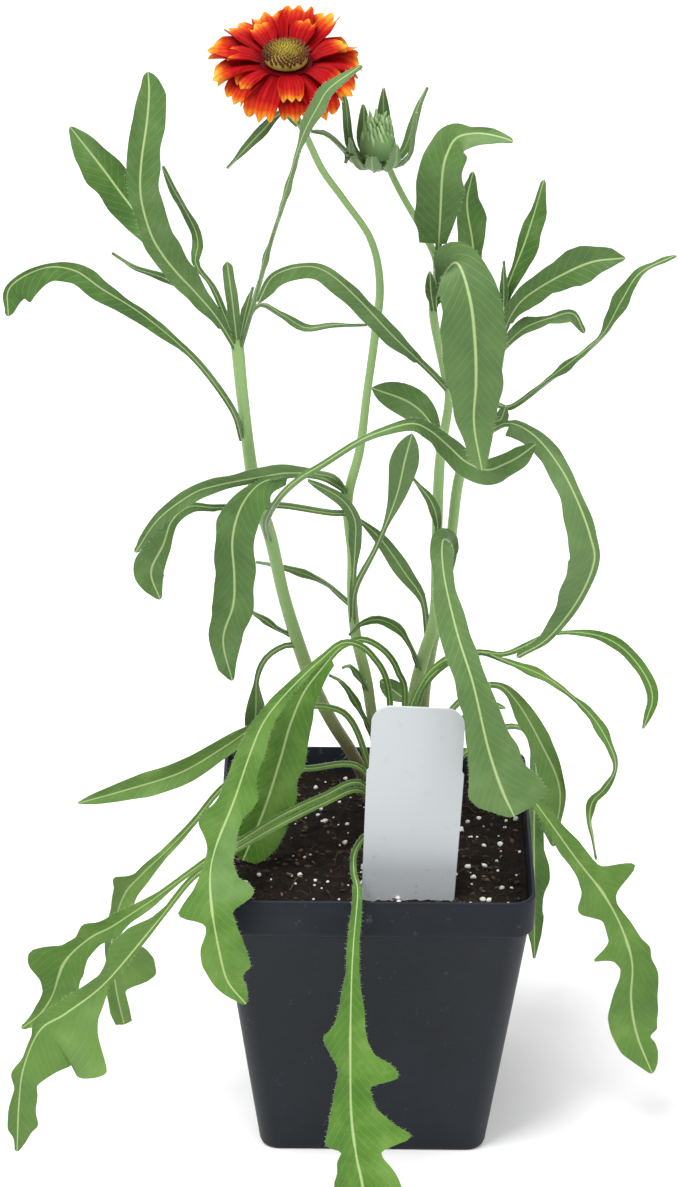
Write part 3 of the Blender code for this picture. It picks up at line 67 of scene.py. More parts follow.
# Pot, mm.
POT_BASE_HALF = 32.9
POT_BODY_HALF = 43.4
POT_RIM_HALF = 45.0
POT_BASE_RADIUS = 5.5
POT_RIM_RADIUS = 7.0
POT_HEIGHT = 92.0
RIM_BAND = 11.5
WALL = 1.2
SMOOTH_POT = math.radians(40)
POT_FLOOR = 1.6
DRAIN_RADIUS = 4.0
DRAIN_OFFSET = 21.0
CORNER_STEPS = 12
DRAIN_SIDES = 36

# Soil, mm, with the mound's spread in mm squared, how many places its skin has along each side, and how
# many grains, chips and fibres lie on it.
SOIL_TOP = 83.0
HOLE_BOTTOM = 68.0
SKIN_RISE = 1.15
LUMP_HEIGHT = 0.9
MOUND_HEIGHT = 1.6
MOUND_PLACE = (5, 14)
MOUND_SPREAD = 160
SOIL_HALF = POT_RIM_HALF - WALL - 0.45
SKIN_PLACES = 130
PERLITE_GRAINS = 190
PERLITE_SIZES = (0.35, 0.45, 0.6, 0.8, 1.05)
BARK_CHIPS = 620
BARK_SIZES = (0.4, 1.3)
FIBRES = 130
FIBRE_REACHES = (1.5, 4.0)
FIBRE_RADIUS = 0.13

# Label, mm.
LABEL_WIDTH = 27.4
LABEL_NECK = 26.2
LABEL_THICK = 0.8
LABEL_FOOT = Vector((8.4, -31.5, 66.0))
LABEL_TOP = Vector((11.4, -24.5, 143.5))
LABEL_CORNER = 5.5
LABEL_SHOULDER = 20.0
LABEL_TIP_HALF = 6.0
LABEL_TIP_RISE = 12.0
LABEL_BEVEL = 0.14
SMOOTH_LABEL = math.radians(35)

# Leaves, mm. EDGE_SOFT, over which an edge is rounded, is a part of the leaf's length, and LOBE_BAND of
# its half width. SOLID_STEP is a step of the solid's blade, and LOBE_PERIOD the steps from lobe to lobe.
BLADE = 0.5
STALK_HALF = 0.9
STALK_THICK = 1.3
RIB_THICK = 0.9
RIB_HALF = 0.5
GROOVE_DEPTH = 0.22
GROOVE_HALF = 0.55
TIP_HALF = 0.3
STEP_LENGTH = 1.9
EDGE_STEP = 0.8
EDGE_SOFT = 0.004
SOLID_STEP = 10.5
LOBE_BAND = 0.6
LOBE_PERIOD = 4
ACROSS = 13

# Stems and hairs, mm, but for STEM_FATTER, SWELLING and STEM_RIBS, which are parts of the stem's radius,
# the part of a leaf's hairs that is missing, and how far hairs stray from a direction of length 1.
STEM_STEP = 1.6
STEM_FATTER = 1.02
SWELLING = 0.05
SWELLING_STEP = 9.0
STEM_RIBS = 0.03
STEM_SIDES = 16
CROWN = Vector((3.0, 6.0, 87.0))
HAIR_ROOT = 0.15
HAIRS_AT_EDGE = 2
HAIRS_MISSING = 0.25
LEAF_HAIR_STRAY = 0.5
LEAF_HAIR_RADIUS = 0.032
LEAF_HAIR_LENGTHS = (0.45, 1.0)
STEM_HAIR_STRAY = 0.35
STEM_HAIR_RADIUS = 0.036
STEM_HAIR_LENGTHS = (0.8, 1.9)

# Bloom and bud, mm, with rays as (how many, length, width) in the outer and the inner layer. A ray's
# body, the start of its teeth and their length are parts of its length. Its lift from the ring and its
# droop toward the tip are in degrees: BACK_LIFT and BACK_HOLD raise the rays at the back, FRONT_DROOP
# lowers those in front, and INNER_LIFT raises the inner layer.
BLOOM_TILT = math.radians(14)
RAY_LAYERS = ((13, 14.0, 9.4), (7, 9.5, 7.0))
RAY_ROWS = 18
RAY_ACROSS = 17
RAY_THICK = 0.32
RAY_BODY = 0.86
TEETH_FROM = 0.60
TOOTH_LENGTH = 0.17
RING_RADIUS = 7.0
RAY_LIFT = 10
BACK_LIFT = 16
INNER_LIFT = 14
RAY_DROOP = 34
FRONT_DROOP = 44
BACK_HOLD = 24
CALYX_BRACTS = 14
DISC_RADIUS = 5.8
DISC_HEIGHT = 3.4
DISC_LIFT = 1.1
DISC_FLORETS = 170
FLORETS_REACH = 0.93
FLORET_RADIUS = 0.36
BUD_RADIUS = 5.0
BUD_HEIGHT = 9.2
BUD_DROP = 5.2
BUD_FLORETS = 54
YOUNG_FLORET_RADIUS = 0.55
SPIRAL_TURN = math.radians(137.5)

# Closed round shapes, as (radius, height) from the lower end: parts of the whole for florets and dome,
# and mm for the cups, the rays' ring and the crown.
FLORET_PROFILE = ((0.8, 0.0), (1.0, 0.45), (0.75, 0.8), (0.5, 1.0), (0.12, 0.93))
YOUNG_FLORET_PROFILE = FLORET_PROFILE[:3] + ((0.3, 1.0), (0.12, 0.93))
DOME_PROFILE = ((0.55, 0.0), (0.97, 0.0), (1.0, 0.22), (0.92, 0.52), (0.70, 0.80), (0.38, 0.96),
                (0.12, 1.0))
CALYX_PROFILE = ((1.2, -9.0), (3.0, -6.5), (5.0, -4.2), (5.6, -3.2), (5.4, -1.3))
BUD_CUP_PROFILE = ((1.3, -9.5), (2.6, -8.6), (3.6, -7.4), (4.2, -6.5), (2.0, -6.2))
RAY_RING_PROFILE = ((RING_RADIUS, -0.9), (RING_RADIUS, 0.4))
CROWN_PROFILE = ((3.4, HOLE_BOTTOM + 0.5), (3.4, 83.0), (5.2, 85.5), (5.0, 88.0), (3.0, 89.8),
                 (1.0, 90.2))

# Dark, middle and pale green of the leaves on the stems, and of the low leaves.
HIGH_GREENS = ((0.018, 0.064, 0.005), (0.054, 0.130, 0.018), (0.132, 0.225, 0.074))
LOW_GREENS = ((0.022, 0.082, 0.004), (0.062, 0.160, 0.012), (0.155, 0.270, 0.052))

# Lights, as (name, place and size in metres, watts), and what they look at.
LIGHTS = (("key", (-0.5, -0.4, 1.7), 0.9, 36), ("fill", (1.1, -0.6, 0.9), 1.2, 8),
          ("back", (0.2, 1.2, 1.3), 1.2, 8))
LIT_PLACE = Vector((0, 0, 0.16))
SKY_STRENGTH = 0.62
FLOOR_SIZE = 16

# Bracts round the bud: azimuth in degrees, reach outward and height of the tip, mm.
BUD_BRACTS = ((150, 11, 11), (185, 18, 2), (218, 11, -5), (80, 8, 11), (25, 14.5, 12), (-15, 10.5, 8),
              (-60, 10, 1), (-100, 9.5, -3), (-140, 10, 2), (115, 9.5, 6))


def mm(x, y, z):
    """A place given straight in millimetres."""
    return Vector((x, y, z))


def place(point):
    """The place in millimetres: as given by mm(), or on the sight line of (column, row, depth)."""
    if isinstance(point, Vector):
        return point.copy()
    column, row, depth = point
    across, rise = column - PICTURE_MIDDLE[0], PICTURE_MIDDLE[1] - row
    cos_r, sin_r = math.cos(PICTURE_ROLL), math.sin(PICTURE_ROLL)
    across, rise = across * cos_r + rise * sin_r, rise * cos_r - across * sin_r
    cos_d, sin_d = math.cos(LOOK_DOWN), math.sin(LOOK_DOWN)
    sight = np.array((across, FOCAL * cos_d + rise * sin_d, rise * cos_d - FOCAL * sin_d))
    return Vector(EYE + sight * (depth - EYE[1]) / sight[1])


BLOOM_CENTRE = place((286, 63, -4))
BLOOM_AXIS = Vector((0, -math.sin(BLOOM_TILT), math.cos(BLOOM_TILT)))
BLOOM_BACK = Vector((0, math.cos(BLOOM_TILT), math.sin(BLOOM_TILT)))
BUD_CENTRE = place((378, 137, 8))

# Stems: foot in the soil and radii at foot and top in mm, hairs in each step, and spine above the soil.
STEMS = {
    "left_stem": dict(foot=(-1.5, 24.0), radii=(2.0, 1.7), hairs=3, spine=[
        (365, 780, 23), (350, 750, 20), (334, 725, 17), (319, 697, 15), (306, 666, 14), (285, 600, 12),
        (271, 539, 10), (254, 483, 8), (243, 400, 6), (238, 350, 6), (236, 338, 6)]),
    "bloom_stem": dict(foot=(5.0, 16.5), radii=(1.8, 0.8), hairs=3, spine=[
        (380, 765, 16), (371, 708, 15), (366, 676, 14), (356, 635, 13), (352, 592, 12), (352, 554, 12),
        (348, 500, 10), (360, 449, 9), (367, 394, 8), (375, 336, 7), (380, 285, 6), (371, 240, 4),
        (344, 200, 1), (323, 171, -1), (308, 140, -3), (294, 110, -2.5), (287, 84, -2)]),
    "bud_stem": dict(foot=(11.5, 14.0), radii=(2.1, 0.85), hairs=6, spine=[
        (412, 765, 14), (414, 700, 12), (424, 655, 11), (435, 615, 10), (437, 540, 10), (440, 462, 8),
        (449, 400, 6), (444, 369, 6), (433, 310, 4), (437, 265, 5), (425, 235, 6), (405, 200, 7),
        (395, 181, 8), (386, 161, 8)]),
    "right_stem": dict(foot=(14.5, 23.0), radii=(1.9, 1.2), hairs=6, spine=[
        (424, 765, 22), (424, 700, 19), (431, 650, 17), (440, 610, 16), (451, 540, 15), (460, 475, 14),
        (480, 430, 13), (496, 380, 12), (503, 330, 12), (505, 315, 12)]),
}


def leaf(name, stalk, spine, width=None, peak=0.6, roll=(0, 0), fold=18, lobes=0, cleft=0.0, wave=0.4,
         faces=None):
    """A leaf's measures: stalk as a part of its length, roll from root to tip and fold in degrees.

    Width in mm, the place of its peak, lobes on each side and the depth of their clefts shape a leaf
    that EDGES gives no edges for. Wave is the height of the edge's ripple in mm. The upper side looks
    at `faces`, which is the viewpoint unless a place is given.
    """
    return dict(name=name, spine=spine, width=width, stalk=stalk, peak=peak, roll=roll, fold=fold,
                lobes=lobes, cleft=cleft, wave=wave, faces=EYE if faces is None else np.array(faces))


LEAVES = {
    "left_stem": [
        leaf("tall_front", 0.12, [
            (238, 352, 6), (217, 318, 1), (196, 293, -1), (177, 273, -3), (162, 254, -4), (150, 232, -5),
            (141, 198, -5), (141, 165, -4), (147, 121, -1), (149, 92, 1), (148, 72, 3)]),
        leaf("tall_back", 0.25, [
            (238, 354, 6), (215, 310, 12), (160, 240, 22), (130, 205, 27), (100, 165, 30),
            (70, 127, 32)]),
        leaf("twisted", 0.3, [
            (237, 345, 7), (215, 290, 12), (197, 264, 15), (199, 245, 18), (195, 227, 20), (176, 192, 22),
            (163, 166, 24)], 4.2, roll=(20, 60)),
        leaf("thin_left", 0.3, [
            (232, 335, 7), (200, 300, 8), (167, 278, 8), (135, 267, 8),
            (112, 253, 8)], 2.6, roll=(40, 60)),
        leaf("arching", 0.35, [
            (243, 440, 7), (234, 411, 2), (207, 372, -4), (180, 344, -8), (140, 312, -12),
            (103, 289, -14), (74, 270, -15), (43, 268, -16), (10, 287, -17),
            (8, 316, -18)], roll=(40, 5)),
        leaf("edge_on", 0.2, [
            (240, 350, 6), (255, 299, 0), (263, 270, -6), (273, 234, -13), (284, 202, -19),
            (297, 157, -25), (305, 133, -27), (318, 108, -29), (331, 88, -30),
            (362, 66, -31)], roll=(70, 55), fold=6),
        leaf("small_upright", 0.15, [(238, 350, 6), (232, 299, 2), (227, 262, 2)]),
        leaf("small_thin", 0.2, [
            (240, 348, 7), (246, 315, 9), (253, 287, 11)], 3.0, peak=0.55, roll=(30, 50)),
        leaf("hooked", 0.2, [
            (238, 345, 7), (257, 306, 14), (280, 315, 16), (305, 329, 16), (332, 326, 16),
            (367, 325, 16)], 3.0, roll=(50, 60)),
        leaf("crossing", 0.5, [
            (270, 541, 10), (267, 522, 0), (280, 498, -12), (300, 479, -18), (323, 465, -20),
            (359, 442, -20), (385, 431, -18), (412, 424, -15), (430, 431, -11), (448, 446, -8),
            (466, 462, -7), (487, 470, -7), (505, 464, -7), (520, 456, -6),
            (536, 444, -5)], roll=(40, 5)),
        leaf("low_hanging", 0.4, [
            (300, 645, 13), (284, 646, 12), (266, 658, 11), (257, 678, 11), (256, 705, 11),
            (255, 735, 12)], 7.0, peak=0.72),
        leaf("low_thin", 0.2, [
            (297, 636, 13), (281, 630, 13), (265, 619, 13), (247, 609, 13)], 2.6, roll=(50, 50)),
    ],
    "bloom_stem": [
        leaf("spreading", 0.2, [
            (348, 496, 10), (332, 476, 6), (292, 472, -2), (262, 476, -4), (216, 485, -5), (191, 494, -6),
            (158, 519, -8), (135, 552, -9)], roll=(40, 20)),
        leaf("bent_down", 0.5, [
            (349, 512, 10), (330, 512, 6), (284, 505, 1), (262, 506, 1), (215, 507, -1), (190, 506, -2),
            (172, 520, -4), (163, 545, -5), (151, 572, -5), (160, 599, -5)], roll=(40, 0)),
        leaf("hanging", 0.25, [
            (349, 492, 10), (325, 478, 5), (300, 474, 0), (277, 477, -3), (257, 485, -5), (240, 508, -7),
            (232, 540, -8), (234, 575, -8), (233, 605, -8), (223, 640, -7),
            (232, 680, -6)], roll=(30, 0)),
        leaf("inner_arch", 0.2, [
            (352, 612, 12), (354, 580, 10), (356, 545, 8), (355, 518, 6), (340, 497, 5),
            (308, 480, 4)], 4.8, roll=(20, 40)),
        leaf("rising", 0.3, [
            (353, 622, 12), (356, 588, 9), (377, 546, 3), (396, 498, -2), (405, 460, -4),
            (412, 434, -5)], 8.5, peak=0.82, roll=(20, 0)),
        leaf("behind_left", 0.2, [
            (353, 606, 12), (330, 586, 16), (311, 575, 18), (285, 567, 19),
            (256, 562, 20)], 3.2, roll=(50, 60)),
        leaf("low_left", 0.2, [
            (373, 735, 15), (362, 712, 12), (352, 694, 11), (342, 682, 11),
            (329, 675, 11)], 2.8, roll=(40, 60)),
        leaf("low_curl", 0.2, [
            (367, 690, 14), (362, 680, 11), (351, 666, 10), (342, 668, 10)], 2.4, roll=(40, 60)),
        leaf("top_bract", 0.1, [
            (298, 124, -4), (281, 112, -6), (262, 130, -8), (245, 148, -8),
            (227, 168, -8)], 3.0, peak=0.5, roll=(20, 30)),
    ],
    "bud_stem": [
        leaf("over_left", 0.2, [
            (449, 390, 6), (430, 370, 1), (394, 336, -7), (359, 299, -13), (328, 272, -17),
            (303, 266, -18), (273, 276, -20), (258, 302, -21)], roll=(30, 20)),
        leaf("front_arch", 0.1, [
            (435, 305, 5), (444, 275, 1), (458, 264, -6), (470, 299, -12), (475, 342, -14),
            (476, 383, -15), (474, 424, -15), (482, 470, -17)], fold=12),
        leaf("curled_top", 0.15, [
            (437, 268, 5), (440, 226, 1), (443, 172, -3), (449, 150, -3), (457, 138, -3), (470, 134, -4),
            (485, 134, -6), (503, 138, -8), (513, 142, -9)], roll=(0, 20)),
        leaf("behind_top", 0.25, [
            (433, 305, 4), (470, 274, 16), (473, 247, 18), (467, 204, 20), (473, 172, 20)]),
        leaf("dark_back", 0.2, [(441, 470, 8), (434, 430, 14), (412, 404, 18), (372, 388, 20)], 10.0),
        leaf("inner_left", 0.2, [
            (428, 640, 11), (423, 600, 13), (406, 574, 16), (381, 539, 18),
            (358, 518, 19)], 5.0, peak=0.5, roll=(10, 20)),
        leaf("inner_thin", 0.2, [
            (437, 545, 10), (438, 522, 4), (431, 500, 1), (413, 478, -1)], 3.2, peak=0.5, roll=(10, 30)),
        leaf("inner_curl", 0.2, [
            (421, 672, 11), (415, 655, 8), (401, 630, 6), (380, 619, 5), (361, 623, 4),
            (349, 635, 4)], 3.4, roll=(50, 40)),
        leaf("low_bright", 0.2, [(414, 706, 12), (398, 694, 17), (380, 680, 19)], 6.5, peak=0.55),
        leaf("top_bit", 0.2, [(434, 312, 4), (431, 292, 0), (430, 272, -2)], 3.4, peak=0.55),
    ],
    "right_stem": [
        leaf("shoot_up", 0.12, [(504, 328, 12), (507, 290, 14), (526, 239, 18), (544, 180, 20)]),
        leaf("shoot_thin", 0.2, [
            (504, 328, 12), (505, 300, 12), (504, 261, 12)], 2.6, peak=0.5, roll=(40, 40)),
        leaf("shoot_right", 0.12, [
            (503, 334, 12), (512, 314, 8), (526, 297, 6), (558, 277, 2), (592, 262, -2), (625, 258, -6)]),
        leaf("shoot_curl", 0.12, [
            (502, 350, 12), (509, 343, 10), (526, 328, 7), (552, 318, 4), (573, 314, 3),
            (584, 333, 2)], roll=(30, 20)),
        leaf("long_right", 0.2, [
            (492, 402, 13), (511, 408, 9), (547, 382, 4), (579, 357, 0), (604, 334, -3), (623, 300, -5),
            (641, 273, -6), (676, 256, -8)], 4.8, peak=0.7, roll=(60, 40), wave=0.9),
        leaf("small_round", 0.2, [(489, 420, 13), (500, 420, 8), (506, 406, 6)], 4.0),
        leaf("big_droop", 0.15, [
            (477, 444, 13), (490, 432, 10), (510, 424, 6), (535, 437, 2), (560, 468, -5), (578, 503, -9),
            (590, 536, -12), (594, 562, -13), (578, 600, -13), (548, 638, -11),
            (517, 657, -10)], roll=(35, -5)),
        leaf("front_hanging", 0.12, [
            (449, 575, 15), (454, 553, 8), (449, 541, 2), (442, 543, -5), (444, 577, -13),
            (457, 633, -22), (473, 684, -30), (488, 748, -34), (502, 790, -36),
            (514, 816, -37)], roll=(20, 0), fold=12),
    ],
    "rosette": [
        leaf("dark_left", 0.55, [
            CROWN, (405, 705, 4), (398, 671, 2), (388, 654, 0), (374, 643, -2), (361, 639, -3),
            (348, 643, -4), (337, 650, -5), (322, 668, -6), (304, 692, -7), (290, 725, -8),
            (280, 760, -8), (264, 810, -9), (243, 860, -12)], roll=(20, 0)),
        leaf("lobed_left", 0.42, [
            CROWN, (390, 700, 1), (372, 655, -5), (345, 642, -9), (320, 660, -12), (290, 689, -14),
            (266, 718, -17), (252, 748, -21), (233, 803, -28), (216, 846, -36), (210, 875, -42),
            (212, 911, -50), (220, 955, -55), (228, 982, -57), (246, 1004, -60)], roll=(20, 0)),
        leaf("flat_left", 0.5, [
            CROWN, (356, 728, 6), (325, 706, 5), (290, 712, 5), (251, 729, 5), (225, 746, 4),
            (181, 772, 1), (125, 790, -3), (78, 803, -6)], 8.0, peak=0.55, roll=(30, 10)),
        leaf("far_left", 0.5, [
            CROWN, (361, 768, 3), (310, 768, 1), (260, 773, -1), (225, 785, -2), (190, 826, -5),
            (163, 854, -8), (142, 874, -9), (123, 897, -10), (112, 938, -11), (114, 972, -12),
            (117, 994, -13), (124, 1024, -14)], roll=(20, 0)),
        leaf("corner_back", 0.55, [
            CROWN, (361, 783, 0), (323, 796, -7), (280, 816, -14), (238, 842, -21), (218, 852, -23),
            (190, 872, -24), (155, 898, -25), (137, 910, -26), (111, 927, -27), (93, 936, -28),
            (75, 950, -29), (64, 963, -30), (58, 978, -31), (52, 996, -31), (40, 1014, -32),
            (22, 1028, -32)], roll=(10, 0)),
        leaf("corner_front", 0.5, [
            CROWN, (361, 790, -1), (323, 803, -9), (280, 824, -18), (238, 848, -26), (218, 860, -28),
            (190, 880, -31), (155, 924, -37), (106, 982, -43), (66, 1013, -47), (40, 1030, -49),
            (24, 1066, -52), (19, 1101, -54), (17, 1151, -57)], roll=(20, 0)),
        leaf("front_low", 0.34, [
            CROWN, mm(-3.0, -6, 91), mm(-6.3, -20, 93.5), mm(-6.5, -33, 94.8), (357, 893, -47),
            (353, 944, -56), (351, 986, -63), (350, 1049, -72), (351, 1113, -80), (356, 1155, -86),
            (363, 1190, -91), mm(-1.5, -97, 12)], roll=(30, 0)),
        leaf("right_lobed", 0.42, [
            CROWN, (425, 742, 3), (455, 722, 1), (490, 745, -3), (536, 804, -8), (576, 859, -12),
            (604, 895, -15), (622, 929, -17), (632, 963, -19), (631, 1000, -20), (637, 1035, -21),
            (652, 1073, -23)], roll=(20, 0)),
        leaf("right_plain", 0.45, [
            CROWN, (432, 738, 3), (465, 697, 6), (494, 685, 9), (515, 700, 11), (540, 742, 12),
            (560, 791, 12), (553, 846, 11)], roll=(30, 0)),
        leaf("right_narrow", 0.3, [
            CROWN, (405, 730, 3), (425, 680, 1), (450, 659, 0), (478, 653, 0), (508, 663, -1),
            (547, 679, -2), (583, 708, -3), (603, 734, -4), (615, 765, -5), (605, 787, -6),
            (592, 801, -6), (589, 819, -6), (592, 836, -7),
            (596, 859, -7)], 2.9, roll=(50, 30), wave=0.8),
        leaf("right_hook", 0.5, [
            CROWN, (415, 715, 5), (428, 682, 4), (452, 661, 4), (478, 653, 5), (503, 655, 7),
            (525, 647, 9), (552, 634, 10), (593, 635, 8), (619, 646, 6), (637, 664, 4), (649, 684, 2),
            (652, 700, 1), (648, 714, 0), (643, 728, 0)], 4.2, peak=0.75, roll=(50, 20)),
        leaf("small_right", 0.6, [
            CROWN, (440, 745, 4), (475, 715, 4), (494, 706, 5), (505, 708, 6)], 4.2, peak=0.5),
        leaf("back_trailing", 0.4, [
            CROWN, mm(9, 5, 93), mm(20, 14, 100), mm(34, 34, 103), mm(45, 50, 95), mm(49, 57, 78),
            mm(49, 57, 60), (534, 958, 52)], 10.0, peak=0.65, roll=(30, 40), lobes=3, cleft=0.3),
    ],
}

